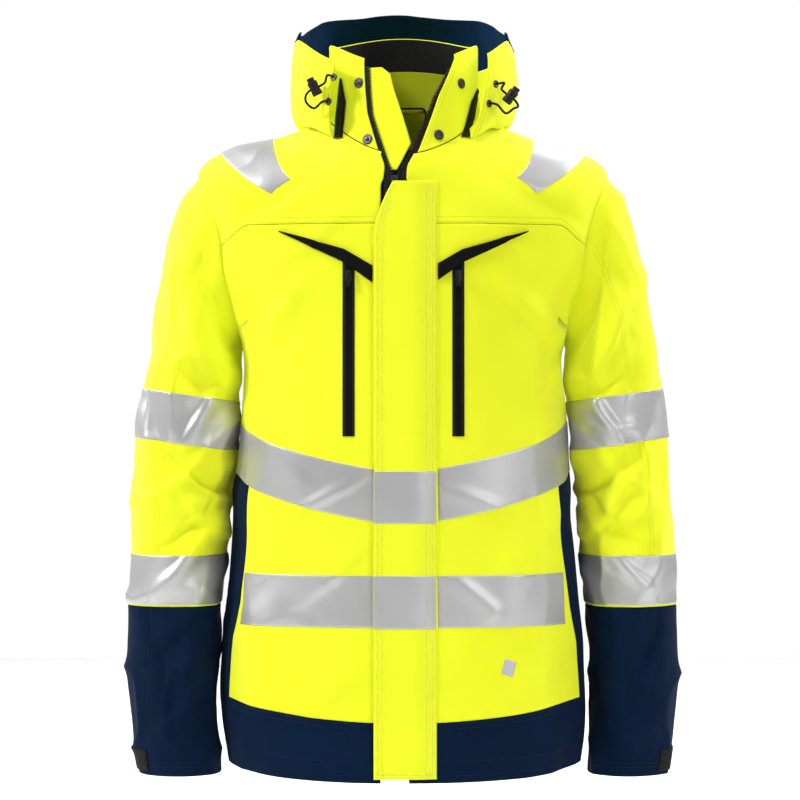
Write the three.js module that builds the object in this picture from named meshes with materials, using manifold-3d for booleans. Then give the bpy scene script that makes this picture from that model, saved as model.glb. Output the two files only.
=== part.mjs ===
// A waterproof high-visibility shell jacket, open at the collar and hanging by its neck loop.
// Millimetres, +Z up, front of the jacket towards -Y, the wearer's left towards +X.
// Every cloth piece is a sheet of even thickness laid on one of three lofted surfaces: body, sleeve, hood.

import * as THREE from "three";
import { mergeVertices } from "three/addons/utils/BufferGeometryUtils.js";
import Module from "manifold-3d";

const wasm = await Module();
wasm.setup();

// ---------- Driving dimensions ----------

// Cloth and seams
const CLOTH = 1.2; // laminated shell cloth
const SEAM_GAP = 0.7; // between two panels that meet at a seam
const LAYER_GAP = 0.9; // between a trim and the cloth it is sewn to
const TRIM = 0.7; // reflective tape, zip tape
const FACET_ROOM = 0.9; // more room where a wide trim lies over a rounded panel
const FLAT_ROOM = 0.2; // and where the panel under it is nearly flat

// Body half widths, back depths and heights, with z = 0 at the side of the neck
const CHEST_HALF = 190;
const WAIST_HALF = 198;
const HIP_HALF = 214;
const HEM_HALF = 208;
const BACK_DEPTH = 131;
const HEM_Z = -765;
const HEM_SIDE_RISE = 12;
const HEM_TAIL_DROP = 8;
const HIP_Z = -684;
const WAIST_Z = -440;
const ARMPIT_Z = -250;
const SHOULDER_HALF = 239;
const SHOULDER_Z = -55;
const NECK_HALF = 94;
const NECK_BACK = 80;
const COLLAR_FRONT_Z = 66;
const COLLAR_BACK_Z = 120;

// The front hangs in one straight line beside the zip, so that the slider runs straight
const ZIP_TOP_Z = -69;
const ZIP_TOP_DEPTH = 127;
const ZIP_HEM_DEPTH = 140;
const ZIP_X = -10;
const ZIP_TEETH_GAP = 2.4;
const ZIP_TAPE_WIDTH = 13;
const ZIP_CHANNEL_HALF = 15;
const ZIP_END_RISE = 12; // end of the zip above the hem

// Seams and tapes
const YOKE_Z = -120;
const YOKE_SIDE_DROP = 22;
const HEM_BAND = 69;
const HEM_BAND_SIDE_RISE = 22;
const STRIP_TOP_Z = -422;
const STRIP_TOP_RISE = 24; // to the side seam above
const STRIP_BACK_DROP = 12; // from there to its back edge
const STRIP_TOP_X = 179;
const STRIP_CORNER_X = 205;
const STRIP_BACK_DEG = 97;
const TAPE_WIDTH = 60;
const CHEST_TAPE_SIDE_RISE = 63;
const WAIST_TAPE_Z = -526;

// Storm flap
const FLAP_LEFT = -34;
const FLAP_RIGHT = 38;
const FLAP_CLOTH = 1.6;
const FLAP_LIFT = 6; // room for the slider and its pull
const FLAP_CORNER_Z = -134;

// Sleeves: clearance from the body, lengths and girths
const SLEEVE_CLEARANCE = 8;
const CUFF_Z = -766;
const FOREARM_SEAM_Z = -567;
const UPPER_TAPE_Z = -310;
const UPPER_TAPE_SLOPE = 16; // outer side above the inner side
const LOWER_TAPE_Z = -507;
const SLEEVE_TAPE_WIDTH = 58;
const UPPER_ARM_WIDTH = 116;
const ELBOW_WIDTH = 114;
const CUFF_WIDTH = 96;
const ARMHOLE_SPREAD_DEG = 23;
const ARMHOLE_ROWS = [5.15, 8]; // from the underarm row to the shoulder tip row
const ARMHOLE_GAP = 2.2;

// Hood
const HOOD_HALF = 133;
const HOOD_BACK = 222;
const HOOD_RIM_Z = 160;

// Pockets
const POCKET_X = 63;
const POCKET_TOP_Z = -162;
const POCKET_LENGTH = 204;
const POCKET_STRIP = 14;
const POCKET_SLIDER = [9, 13, 2.6];
const POCKET_SLIDER_DROP = 12; // slider below the top of its zip, clear of the welt
const WELT_WIDTH = 20;
const CHEST_TAPE_BELOW_POCKET = 42;
const CHEST_TAPE_Z = POCKET_TOP_Z - POCKET_LENGTH - CHEST_TAPE_BELOW_POCKET;

// Drawcord, its lock and its eyelets
const CORD_DIAMETER = 2.8;
const CORD_CLEARANCE = 0.35;
const LOCK_RADIUS = 6;
const LOCK_LENGTH = 17;
const LOCK_BUTTON_RADIUS = 4.4;
const LOCK_BUTTON_TRAVEL = 3;
const EYELET_RADIUS = 4.6;

// Snaps, zip slider, hanger loop, cuff tab
const SNAP_RADIUS = 6.2;
const SLIDER_SIZE = [10, 15, 1.5]; // width, length, plate thickness
const PULL_SIZE = [5, 16, 0.9];
const PULL_DROP = 4; // a pull's pivot below the top of its slider
const LOOP_SPAN = 56;
const LOOP_DROP = 15;
const LOOP_THICKNESS = 2;
const LOOP_WIDTH = 8;
const TAB_HEIGHT = 26;

const DEG = Math.PI / 180;

// ---------- Materials ----------

const finish = (hex, roughness, metalness = 0) =>
  new THREE.MeshStandardMaterial({ color: hex, roughness, metalness });
const YELLOW = () => finish(0xf6fa3e, 0.75);
const NAVY = () => finish(0x031d38, 0.7);
const BLACK_CLOTH = () => finish(0x0d0d0e, 0.85);
const DARK_MESH = () => finish(0x0a1008, 0.9);
const SILVER_TAPE = () => finish(0xb9bcbe, 0.35, 0.2);
const ZIP_BLACK = () => finish(0x2c2a2c, 0.6);
const BLACK_PLASTIC = () => finish(0x161617, 0.4);
const GUNMETAL = () => finish(0x3d3c40, 0.35, 0.9);

const jacket = new THREE.Group();

function add(name, geometry, material) {
  const mesh = new THREE.Mesh(geometry, material);
  mesh.name = name;
  jacket.add(mesh);
  return mesh;
}

// ---------- Curves ----------

const mix = (a, b, t) => a + (b - a) * t;
const smooth = (t) => {
  const c = Math.min(1, Math.max(0, t));
  return c * c * (3 - 2 * c);
};

// Catmull-Rom value through evenly numbered stops
function through(stops, at) {
  const last = stops.length - 1;
  const i = Math.min(last - 1, Math.max(0, Math.floor(at)));
  const t = at - i;
  const p = [i - 1, i, i + 1, i + 2].map((k) => stops[Math.min(last, Math.max(0, k))]);
  return (
    0.5 *
    (2 * p[1] +
      (p[2] - p[0]) * t +
      (2 * p[0] - 5 * p[1] + 4 * p[2] - p[3]) * t * t +
      (3 * p[1] - p[0] - 3 * p[2] + p[3]) * t * t * t)
  );
}

// Straight value between points [key, value] given in rising order of key
function between(points, key) {
  for (let i = 1; i < points.length; i++)
    if (key <= points[i][0] || i === points.length - 1) {
      const [k0, v0] = points[i - 1];
      const [k1, v1] = points[i];
      return mix(v0, v1, Math.min(1, Math.max(0, (key - k0) / (k1 - k0))));
    }
}

// Signed power, which turns a circle into a squarer ring
const squared = (value, square) => Math.sign(value) * Math.abs(value) ** (2 / square);

// A surface knows its points and its outward normals
function surface(point) {
  const step = 1e-3;
  return {
    point,
    normal(a, b) {
      const across = point(a + step, b).sub(point(a - step, b));
      const along = point(a, b + step).sub(point(a, b - step));
      return across.cross(along).normalize();
    },
  };
}

// Rings round a vertical axis: phi 0 is the front, 90 degrees the wearer's left, 180 the back
function ringSurface(rows) {
  const column = (key) => rows.map((row) => row[key]);
  const half = column("half");
  const front = column("front");
  const back = column("back");
  const square = column("square");
  const zFront = column("zFront");
  const zSide = column("zSide");
  const zBack = column("zBack");
  const made = surface((phi, v) => {
    const s = Math.sin(phi);
    const c = Math.cos(phi);
    const n = through(square, v);
    const depth = through(c > 0 ? front : back, v);
    return new THREE.Vector3(
      through(half, v) * squared(s, n),
      -depth * squared(c, n),
      through(zSide, v) * s * s + through(c > 0 ? zFront : zBack, v) * c * c,
    );
  });
  made.half = (v) => through(half, v);
  made.square = (v) => through(square, v);
  made.last = rows.length - 1;
  return made;
}

// ---------- Body surface ----------

const zipDepth = (z) =>
  ZIP_TOP_DEPTH + ((ZIP_TOP_Z - z) * (ZIP_HEM_DEPTH - ZIP_TOP_DEPTH)) / (ZIP_TOP_Z - HEM_Z);

const level = (half, back, z, square = 2.6) => ({
  half,
  front: zipDepth(z),
  back,
  zFront: z,
  zSide: z,
  zBack: z,
  square,
});
const ring = (half, front, back, zFront, zSide, zBack, square) => ({
  half,
  front,
  back,
  zFront,
  zSide,
  zBack,
  square,
});

const bodyRows = [
  ring(
    HEM_HALF,
    zipDepth(HEM_Z),
    BACK_DEPTH - 7,
    HEM_Z,
    HEM_Z + HEM_SIDE_RISE,
    HEM_Z - HEM_TAIL_DROP,
    2.6,
  ),
  level(HIP_HALF, BACK_DEPTH - 2, HIP_Z),
  level(mix(HIP_HALF, WAIST_HALF, 0.4), BACK_DEPTH, mix(HIP_Z, WAIST_Z, 0.5)),
  level(WAIST_HALF, BACK_DEPTH, WAIST_Z),
  level(CHEST_HALF + 1, BACK_DEPTH, mix(WAIST_Z, ARMPIT_Z, 0.5)),
  level(CHEST_HALF, BACK_DEPTH, ARMPIT_Z),
  ring(mix(CHEST_HALF, SHOULDER_HALF, 0.55), zipDepth(-185), BACK_DEPTH - 2, -185, -165, -180, 2.5),
  ring(SHOULDER_HALF - 4, zipDepth(-140), BACK_DEPTH - 5, -140, -100, -130, 2.4),
  ring(SHOULDER_HALF, zipDepth(-108), BACK_DEPTH - 11, -108, SHOULDER_Z, -90, 2.3),
  ring(mix(SHOULDER_HALF, NECK_HALF, 0.235), zipDepth(-88), BACK_DEPTH - 18, -88, -31, -60, 2.2),
  ring(mix(SHOULDER_HALF, NECK_HALF, 0.545), zipDepth(-72), BACK_DEPTH - 27, -72, -13, -32, 2.1),
  ring(mix(SHOULDER_HALF, NECK_HALF, 0.786), 126, BACK_DEPTH - 38, -56, 0, -5, 2),
  ring(NECK_HALF, 120, NECK_BACK, -40, 12, 20, 2),
  ring(NECK_HALF - 3, 114, NECK_BACK - 1, -18, 28, 38, 2),
  ring(NECK_HALF - 5, 106, NECK_BACK - 1, 22, 62, 78, 2),
  ring(NECK_HALF - 6, 100, NECK_BACK, COLLAR_FRONT_Z, mix(COLLAR_FRONT_Z, COLLAR_BACK_Z, 0.63), COLLAR_BACK_Z, 2),
];
const HIP_ROW = 1;
const NECK_ROW = 12;
const COLLAR_TOP_ROW = 15;
const body = ringSurface(bodyRows);

// Row coordinate of the body where it reaches height z, for an angle or for a front point x
function rowAt(z, phiOf) {
  let low = 0;
  let high = body.last;
  for (let i = 0; i < 40; i++) {
    const v = (low + high) / 2;
    if (body.point(phiOf(v), v).z < z) low = v;
    else high = v;
  }
  return (low + high) / 2;
}
const phiAtX = (x, v) =>
  Math.sign(x) * Math.asin(Math.min(1, Math.abs(x) / body.half(v)) ** (body.square(v) / 2));
const frontAt = (x, z) => {
  const v = rowAt(z, (row) => phiAtX(x, row));
  return [phiAtX(x, v), v];
};
const sideAt = (phi, z) => [phi, rowAt(z, () => phi)];

// ---------- Sheets ----------

// A closed solid over a grid of a surface. at(s, t) gives the surface's two coordinates,
// low and high give the two faces' distances from it, and wrap joins the last column to the first.
function sheet(on, at, across, along, low, high, options = {}) {
  const { wrap = false, side = 1, keep = () => true } = options;
  const offset = (value, s, t) => (typeof value === "function" ? value(s, t) : value);
  const columns = across.length;
  const rows = along.length;
  const positions = [];
  along.forEach((t) =>
    across.forEach((s) => {
      const [a, b] = at(s, t);
      const p = on.point(a, b);
      const n = on.normal(a, b);
      [low, high].forEach((value) => {
        const q = p.clone().addScaledVector(n, offset(value, s, t));
        positions.push(q.x * side, q.y, q.z);
      });
    }),
  );
  const id = (i, j, k) => ((j * columns + (i % columns)) << 1) + k;
  const cellColumns = wrap ? columns : columns - 1;
  const kept = (i, j) => {
    if (j < 0 || j >= rows - 1) return false;
    if (wrap) return keep((i + columns) % columns, j);
    return i >= 0 && i < cellColumns && keep(i, j);
  };
  const index = [];
  const quad = (a, b, c, d) => index.push(a, b, c, a, c, d);
  for (let j = 0; j < rows - 1; j++)
    for (let i = 0; i < cellColumns; i++) {
      if (!kept(i, j)) continue;
      quad(id(i, j, 1), id(i + 1, j, 1), id(i + 1, j + 1, 1), id(i, j + 1, 1));
      quad(id(i, j, 0), id(i, j + 1, 0), id(i + 1, j + 1, 0), id(i + 1, j, 0));
      if (!kept(i, j - 1)) quad(id(i, j, 0), id(i + 1, j, 0), id(i + 1, j, 1), id(i, j, 1));
      if (!kept(i, j + 1))
        quad(id(i + 1, j + 1, 0), id(i, j + 1, 0), id(i, j + 1, 1), id(i + 1, j + 1, 1));
      if (!kept(i - 1, j)) quad(id(i, j + 1, 0), id(i, j, 0), id(i, j, 1), id(i, j + 1, 1));
      if (!kept(i + 1, j))
        quad(id(i + 1, j, 0), id(i + 1, j + 1, 0), id(i + 1, j + 1, 1), id(i + 1, j, 1));
    }
  const geometry = new THREE.BufferGeometry();
  geometry.setAttribute("position", new THREE.Float32BufferAttribute(positions, 3));
  geometry.setIndex(index);
  return facingOut(geometry);
}

// Turns every face round where the solid is inside out
function facingOut(geometry) {
  const p = geometry.getAttribute("position");
  const index = geometry.getIndex().array;
  const corner = (k) => new THREE.Vector3().fromBufferAttribute(p, index[k]);
  let volume = 0;
  for (let i = 0; i < index.length; i += 3)
    volume += corner(i).dot(corner(i + 1).cross(corner(i + 2)));
  if (volume < 0)
    for (let i = 0; i < index.length; i += 3)
      [index[i + 1], index[i + 2]] = [index[i + 2], index[i + 1]];
  return geometry;
}

// Even stops from 0 to 1
const stops = (count) => Array.from({ length: count + 1 }, (_, i) => i / count);

// A four-sided patch from its four edges, each a function from 0..1 to two coordinates
function patch(bottom, top, left, right) {
  const [c00, c10, c01, c11] = [bottom(0), bottom(1), top(0), top(1)];
  return (s, t) =>
    [0, 1].map(
      (k) =>
        mix(bottom(s)[k], top(s)[k], t) +
        mix(left(t)[k], right(t)[k], s) -
        mix(mix(c00[k], c10[k], s), mix(c01[k], c11[k], s), t),
    );
}

// An edge made of legs: [share of the length at its end, function from 0..1 to coordinates]
function chain(legs) {
  return (t) => {
    let start = 0;
    for (const [end, leg] of legs) {
      if (t <= end + 1e-9) return leg(Math.min(1, (t - start) / (end - start)));
      start = end;
    }
    return legs.at(-1)[1](1);
  };
}
const line = (from, to) => (t) => [mix(from[0], to[0], t), mix(from[1], to[1], t)];

// ---------- Solids from three.js shapes ----------

function solidOf(geometry) {
  const bare = geometry.index ? geometry.toNonIndexed() : geometry.clone();
  bare.deleteAttribute("normal");
  bare.deleteAttribute("uv");
  const merged = mergeVertices(bare, 1e-4);
  return new wasm.Manifold(
    new wasm.Mesh({
      numProp: 3,
      vertProperties: merged.attributes.position.array,
      triVerts: new Uint32Array(merged.index.array),
    }),
  );
}

function geometryOf(solid) {
  const mesh = solid.getMesh();
  const geometry = new THREE.BufferGeometry();
  const count = mesh.numProp;
  const positions = new Float32Array(mesh.numVert * 3);
  for (let i = 0; i < mesh.numVert; i++)
    positions.set(mesh.vertProperties.subarray(i * count, i * count + 3), i * 3);
  geometry.setAttribute("position", new THREE.BufferAttribute(positions, 3));
  geometry.setIndex(new THREE.BufferAttribute(mesh.triVerts, 1));
  return geometry;
}

const box = (width, depth, height, x = 0, y = 0, z = 0) =>
  new THREE.BoxGeometry(width, depth, height).translate(x, y, z);

// A turned piece: profile points [radius, height], first and last on the axis or closed on itself
const turned = (profile, sides) =>
  new THREE.LatheGeometry(
    profile.map(([r, h]) => new THREE.Vector2(r, h)),
    sides,
  );

// Places a mesh whose +Z looks out of the surface and whose +Y runs up it
function seat(mesh, on, a, b, lift, side = 1, facing = null) {
  const p = on.point(a, b);
  const n = (facing ?? on.normal(a, b)).clone();
  p.addScaledVector(n, lift);
  p.x *= side;
  n.x *= side;
  const up = new THREE.Vector3(0, 0, 1);
  const right = up.clone().cross(n).normalize();
  const along = n.clone().cross(right);
  mesh.matrixAutoUpdate = false;
  mesh.matrix.makeBasis(right, along, n).setPosition(p);
  return mesh;
}

// ---------- Edges of the open front ----------

// Inner edge of each zip half, by height: closed below the opening, spread above it
const OPENING_RIGHT = [
  [ZIP_TOP_Z, ZIP_X - ZIP_TEETH_GAP / 2],
  [-48, -20],
  [-15, -31],
  [7, -38],
  [28, -40],
  [COLLAR_FRONT_Z, -42],
];
const OPENING_LEFT = [
  [ZIP_TOP_Z, ZIP_X + ZIP_TEETH_GAP / 2],
  [-48, 4],
  [-27, 15],
  [7, 29],
  [28, 37],
  [COLLAR_FRONT_Z, 56],
];
const openingEdge = (side, z) => between(side > 0 ? OPENING_LEFT : OPENING_RIGHT, z);

// Edge of a front panel on one side of the zip, at a distance from the teeth
const frontEdge = (side, z, away) => openingEdge(side, z) + side * away;
const panelEdge = (side, z) => frontEdge(side, z, ZIP_CHANNEL_HALF - 7 * smooth((z - ZIP_TOP_Z) / 30));

// Front coordinates of one side, mirrored so that they rise outwards
const sideFront = (side, x, z) => {
  const [phi, v] = frontAt(x, z);
  return [side * phi, v];
};

// ---------- Armhole ----------

const armholeMiddle = (ARMHOLE_ROWS[0] + ARMHOLE_ROWS[1]) / 2;
const armholeHalf = (ARMHOLE_ROWS[1] - ARMHOLE_ROWS[0]) / 2;
const armholeSpread = (v) =>
  ARMHOLE_SPREAD_DEG * DEG * Math.sqrt(Math.max(0, 1 - ((v - armholeMiddle) / armholeHalf) ** 2));
const SIDE = 90 * DEG;
const seamAngle = SEAM_GAP / 2 / CHEST_HALF;
const armholeFront = (v) => [SIDE - seamAngle - armholeSpread(v), v];
const armholeBack = (v) => [SIDE + seamAngle + armholeSpread(v), v];

// ---------- Front, yoke, side, hem and back panels ----------

const bandTop = (x) =>
  HEM_Z + HEM_BAND + HEM_BAND_SIDE_RISE * (Math.abs(x) / STRIP_CORNER_X) ** 2;
const stripEdgeX = (z) =>
  mix(STRIP_CORNER_X, STRIP_TOP_X, smooth((z - HIP_Z) / (STRIP_TOP_Z - HIP_Z)));
const stripTopPhi = phiAtX(STRIP_TOP_X, 3.2);
const stripBack = STRIP_BACK_DEG * DEG;
const stripTop = (phi) =>
  between(
    [
      [stripTopPhi, STRIP_TOP_Z],
      [SIDE, STRIP_TOP_Z + STRIP_TOP_RISE],
      [stripBack, STRIP_TOP_Z + STRIP_TOP_RISE - STRIP_BACK_DROP],
    ],
    phi,
  );
// Columns of the side strip: its front edge, midway, the side seam of the panels above, its back edge
const stripShare = (phi) => (phi - stripTopPhi) / (stripBack - stripTopPhi);
const STRIP_STOPS = [0, stripShare(mix(stripTopPhi, 90 * DEG, 0.5)), stripShare(90 * DEG), 1];
const yokeZ = (x) => YOKE_Z - YOKE_SIDE_DROP * smooth((x - 180) / 34);
const YOKE_ARMHOLE_ROW = rowAt(YOKE_Z - YOKE_SIDE_DROP, (v) => armholeFront(v)[0]);

// Point of a seam whose height depends on x, at an angle, moved up or down by a gap
function seamPoint(phi, heightAt, gap) {
  const x = body.half(HIP_ROW) * squared(Math.sin(phi), body.square(HIP_ROW));
  let point = sideAt(phi, heightAt(x) + gap);
  for (let i = 0; i < 4; i++) {
    const reached = body.point(...point).x;
    point = sideAt(phi, heightAt(reached) + gap);
  }
  return point;
}

[1, -1].forEach((side) => {
  const hand = side > 0 ? "left" : "right";
  const at = (x, z) => sideFront(side, side * x, z);
  const inner = (z) => side * panelEdge(side, z);
  const corner = [stripEdgeX(bandTop(STRIP_CORNER_X)), bandTop(STRIP_CORNER_X)];

  const frontBottom = bandTop(inner(HEM_Z + HEM_BAND)) + SEAM_GAP;
  const heights = [frontBottom, STRIP_TOP_Z, stripTop(SIDE) + SEAM_GAP, ARMPIT_Z, YOKE_Z - SEAM_GAP];
  const shares = [0, 0.4, 0.47, 0.72, 1];
  const frontRight = chain([
    [
      shares[1],
      (t) => {
        const z = mix(corner[1] + SEAM_GAP, STRIP_TOP_Z + SEAM_GAP, t);
        return at(stripEdgeX(z) - SEAM_GAP, z);
      },
    ],
    [
      shares[2],
      (t) => {
        const phi = mix(stripTopPhi, SIDE - seamAngle, t);
        return sideAt(phi, stripTop(phi) + SEAM_GAP);
      },
    ],
    [
      shares[3],
      (t) => {
        const [, v] = sideAt(SIDE, mix(stripTop(SIDE) + SEAM_GAP, ARMPIT_Z, t));
        return [SIDE - seamAngle, Math.min(v, ARMHOLE_ROWS[0])];
      },
    ],
    [1, (t) => armholeFront(mix(ARMHOLE_ROWS[0], YOKE_ARMHOLE_ROW - 0.012, t ** 1.3))],
  ]);
  const frontLeft = (t) => {
    const z = between(
      shares.map((share, i) => [share, heights[i]]),
      t,
    );
    return at(inner(z), z);
  };
  const frontMap = patch(
    (s) => seamPoint(mix(frontLeft(0)[0], frontRight(0)[0], s), bandTop, SEAM_GAP),
    (s) => {
      if (s === 1) return frontRight(1);
      return seamPoint(mix(frontLeft(1)[0], frontRight(1)[0], s), yokeZ, -SEAM_GAP);
    },
    frontLeft,
    frontRight,
  );
  const rows = [...stops(5).map((t) => t * 0.4), 0.435, 0.47, 0.55, 0.63, 0.72, 0.78, 0.85, 0.92, 1];
  add(
    "front_panel_" + hand,
    sheet(body, frontMap, stops(9), rows, 0, CLOTH, { side }),
    YELLOW(),
  );

  // Yoke: from the yoke seam over the shoulder to the shoulder seam and the neck
  const yokeRight = chain([
    [0.45, (t) => armholeFront(mix(YOKE_ARMHOLE_ROW, ARMHOLE_ROWS[1], 1 - (1 - t) ** 1.6))],
    [1, (t) => [SIDE - seamAngle, mix(ARMHOLE_ROWS[1], NECK_ROW - 0.03, t)]],
  ]);
  const yokeLeft = (t) => {
    const z = mix(YOKE_Z, -40, t);
    const edge = at(inner(z), z);
    return t === 1 ? [edge[0], NECK_ROW - 0.03] : edge;
  };
  const yokeMap = patch(
    (s) => (s === 1 ? yokeRight(0) : seamPoint(mix(yokeLeft(0)[0], yokeRight(0)[0], s), yokeZ, 0)),
    (s) => [mix(yokeLeft(1)[0], SIDE - seamAngle, s), NECK_ROW - 0.03],
    yokeLeft,
    yokeRight,
  );
  add(
    "yoke_" + hand,
    sheet(body, yokeMap, stops(9), stops(9), 0, CLOTH, { side }),
    YELLOW(),
  );

  // Side strip and front hem band in one piece
  const innerPath = chain([
    [
      0.45,
      (t) => {
        const phis = [at(inner(HEM_Z + HEM_BAND), HEM_Z + HEM_BAND)[0], at(...corner)[0]];
        return seamPoint(mix(phis[0], phis[1], t), bandTop, 0);
      },
    ],
    [
      1,
      (t) => {
        const z = mix(corner[1], STRIP_TOP_Z, t);
        return at(stripEdgeX(z), z);
      },
    ],
  ]);
  const hemInner = at(inner(HEM_Z + 8), HEM_Z + 8)[0];
  const outerPath = chain([
    [0.45, (t) => [mix(hemInner, stripBack, t), 0.02]],
    [1, (t) => sideAt(stripBack, mix(HEM_Z + HEM_SIDE_RISE + 1, stripTop(stripBack), t))],
  ]);
  add(
    "side_hem_" + hand,
    sheet(
      body,
      (s, t) => line(innerPath(s), outerPath(s))(t),
      [...stops(8).map((s) => s * 0.45), ...stops(5).slice(1).map((s) => 0.45 + s * 0.55)],
      STRIP_STOPS,
      0,
      CLOTH,
      { side },
    ),
    NAVY(),
  );
});

const backPhi = stripBack + seamAngle * 2;
const BACK_BAND_Z = HEM_Z + HEM_BAND + HEM_BAND_SIDE_RISE * 0.6;
const backEdge = chain([
  [0.4, (t) => sideAt(backPhi, mix(BACK_BAND_Z + SEAM_GAP, stripTop(stripBack) + SEAM_GAP, t))],
  [
    0.45,
    (t) => {
      const phi = mix(backPhi, SIDE + seamAngle, t);
      return sideAt(phi, stripTop(phi) + SEAM_GAP);
    },
  ],
  [
    0.6,
    (t) => {
      const [, v] = sideAt(SIDE, mix(stripTop(SIDE) + SEAM_GAP, ARMPIT_Z, t));
      return [SIDE + seamAngle, Math.min(v, ARMHOLE_ROWS[0])];
    },
  ],
  [0.82, (t) => armholeBack(mix(ARMHOLE_ROWS[0], ARMHOLE_ROWS[1], smooth(t)))],
  [1, (t) => [SIDE + seamAngle, mix(ARMHOLE_ROWS[1], NECK_ROW - 0.03, t)]],
]);
const mirrored = ([phi, v]) => [2 * Math.PI - phi, v];
const backMap = patch(
  (s) => sideAt(mix(backPhi, 2 * Math.PI - backPhi, s), BACK_BAND_Z + SEAM_GAP),
  (s) => [mix(SIDE + seamAngle, 3 * SIDE - seamAngle, s), NECK_ROW - 0.03],
  backEdge,
  (t) => mirrored(backEdge(t)),
);
const backRows = [
  ...stops(5).map((t) => t * 0.4),
  0.45,
  0.525,
  0.6,
  0.645,
  0.69,
  0.735,
  0.78,
  0.82,
  0.88,
  0.94,
  1,
];
add("back_panel", sheet(body, backMap, stops(16), backRows, 0, CLOTH), YELLOW());
add(
  "hem_back",
  sheet(
    body,
    (s, t) => {
      const phi = mix(backPhi, 2 * Math.PI - backPhi, s);
      return [phi, mix(0.02, sideAt(phi, BACK_BAND_Z)[1], t)];
    },
    stops(16),
    stops(2),
    0,
    CLOTH,
  ),
  NAVY(),
);

// ---------- Collar ----------

// Columns: a few beside each zip edge, the rest at fixed angles that the lining shares
const COLLAR_FIRST = 60;
const COLLAR_STEP = 12;
const collarAngles = [];
for (let d = COLLAR_FIRST; d <= 360 - COLLAR_FIRST; d += COLLAR_STEP) collarAngles.push(d * DEG);
const collarEdge = (side, v) => {
  const z = body.point(0.4, v).z;
  return Math.abs(phiAtX(panelEdge(side, z), v));
};
const EDGE_COLUMNS = 4;
const collarLast = collarAngles.length - 1 + 2 * EDGE_COLUMNS;
const collarMap = (s, t) => {
  const v = mix(NECK_ROW + 0.03, COLLAR_TOP_ROW, t);
  const i = Math.round(s * collarLast);
  const fromEnd = collarLast - i;
  if (i < EDGE_COLUMNS) return [mix(collarEdge(1, v), collarAngles[0], i / EDGE_COLUMNS), v];
  if (fromEnd < EDGE_COLUMNS)
    return [mix(2 * Math.PI - collarEdge(-1, v), collarAngles.at(-1), fromEnd / EDGE_COLUMNS), v];
  return [collarAngles[i - EDGE_COLUMNS], v];
};
add("collar_shell", sheet(body, collarMap, stops(collarLast), stops(4), 0, CLOTH), YELLOW());
add(
  "collar_lining",
  sheet(
    body,
    (s, t) => [collarAngles[Math.round(s * (collarAngles.length - 1))], mix(NECK_ROW + 0.03, COLLAR_TOP_ROW, t)],
    stops(collarAngles.length - 1),
    stops(4).slice(1),
    -LAYER_GAP - CLOTH,
    -LAYER_GAP,
  ),
  BLACK_CLOTH(),
);

// ---------- Main zip ----------

const ZIP_LOW = -LAYER_GAP - 1;
const ZIP_HIGH = -LAYER_GAP;
[1, -1].forEach((side) => {
  const hand = side > 0 ? "left" : "right";
  const bottom = HEM_Z + ZIP_END_RISE;
  const zs = [
    ...stops(10).map((t) => mix(bottom, ZIP_TOP_Z, t)),
    -58,
    -48,
    -37,
    -26,
    -15,
    -4,
    7,
    18,
    28,
    40,
    52,
    COLLAR_FRONT_Z - 1,
  ];
  add(
    "main_zip_" + hand,
    sheet(
      body,
      (s, t) => {
        const z = zs[Math.round(t * (zs.length - 1))];
        return sideFront(side, frontEdge(side, z, s * (ZIP_TAPE_WIDTH - 1)), z);
      },
      stops(1),
      stops(zs.length - 1),
      ZIP_LOW,
      ZIP_HIGH,
      { side },
    ),
    ZIP_BLACK(),
  );
});

// Slider: two plates joined by a neck that runs between the two tapes
const [sliderWidth, sliderLength, plate] = SLIDER_SIZE;
const neckWidth = ZIP_TEETH_GAP - 0.9;
const plateGap = 2.4;
const sliderZ = ZIP_TOP_Z - sliderLength / 2 + 4;
const sliderFace = ZIP_HIGH + 0.4;
const slider = solidOf(box(sliderWidth, sliderLength, plate, 0, 0, plate / 2))
  .add(solidOf(box(sliderWidth, sliderLength, plate, 0, 0, -plateGap - plate / 2)))
  .add(solidOf(box(neckWidth, 4, plateGap + plate, 0, sliderLength / 2 - 2, -plateGap / 2)));
const [sliderPhi, sliderRow] = frontAt(ZIP_X, sliderZ);
const zipFacing = body.normal(...frontAt(ZIP_X, -300));
seat(
  add("main_zip_slider", geometryOf(slider), GUNMETAL()),
  body,
  sliderPhi,
  sliderRow,
  sliderFace,
  1,
  zipFacing,
);
const [pullWidth, pullLength, pullThick] = PULL_SIZE;
const pullShape = new THREE.Shape();
pullShape.moveTo(-pullWidth / 2, 0);
pullShape.lineTo(-pullWidth / 2, -pullLength + pullWidth / 2);
pullShape.absarc(0, -pullLength + pullWidth / 2, pullWidth / 2, Math.PI, 2 * Math.PI, false);
pullShape.lineTo(pullWidth / 2, 0);
const pullOf = () =>
  new THREE.ExtrudeGeometry(pullShape, { depth: pullThick, bevelEnabled: false, curveSegments: 6 });
const [pullPhi, pullRow] = frontAt(ZIP_X, sliderZ + sliderLength / 2 - PULL_DROP);
seat(
  add("main_zip_pull", pullOf(), GUNMETAL()),
  body,
  pullPhi,
  pullRow,
  sliderFace + plate + 0.4,
  1,
  zipFacing,
);

// ---------- Storm flap and inner wind flap ----------

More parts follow.
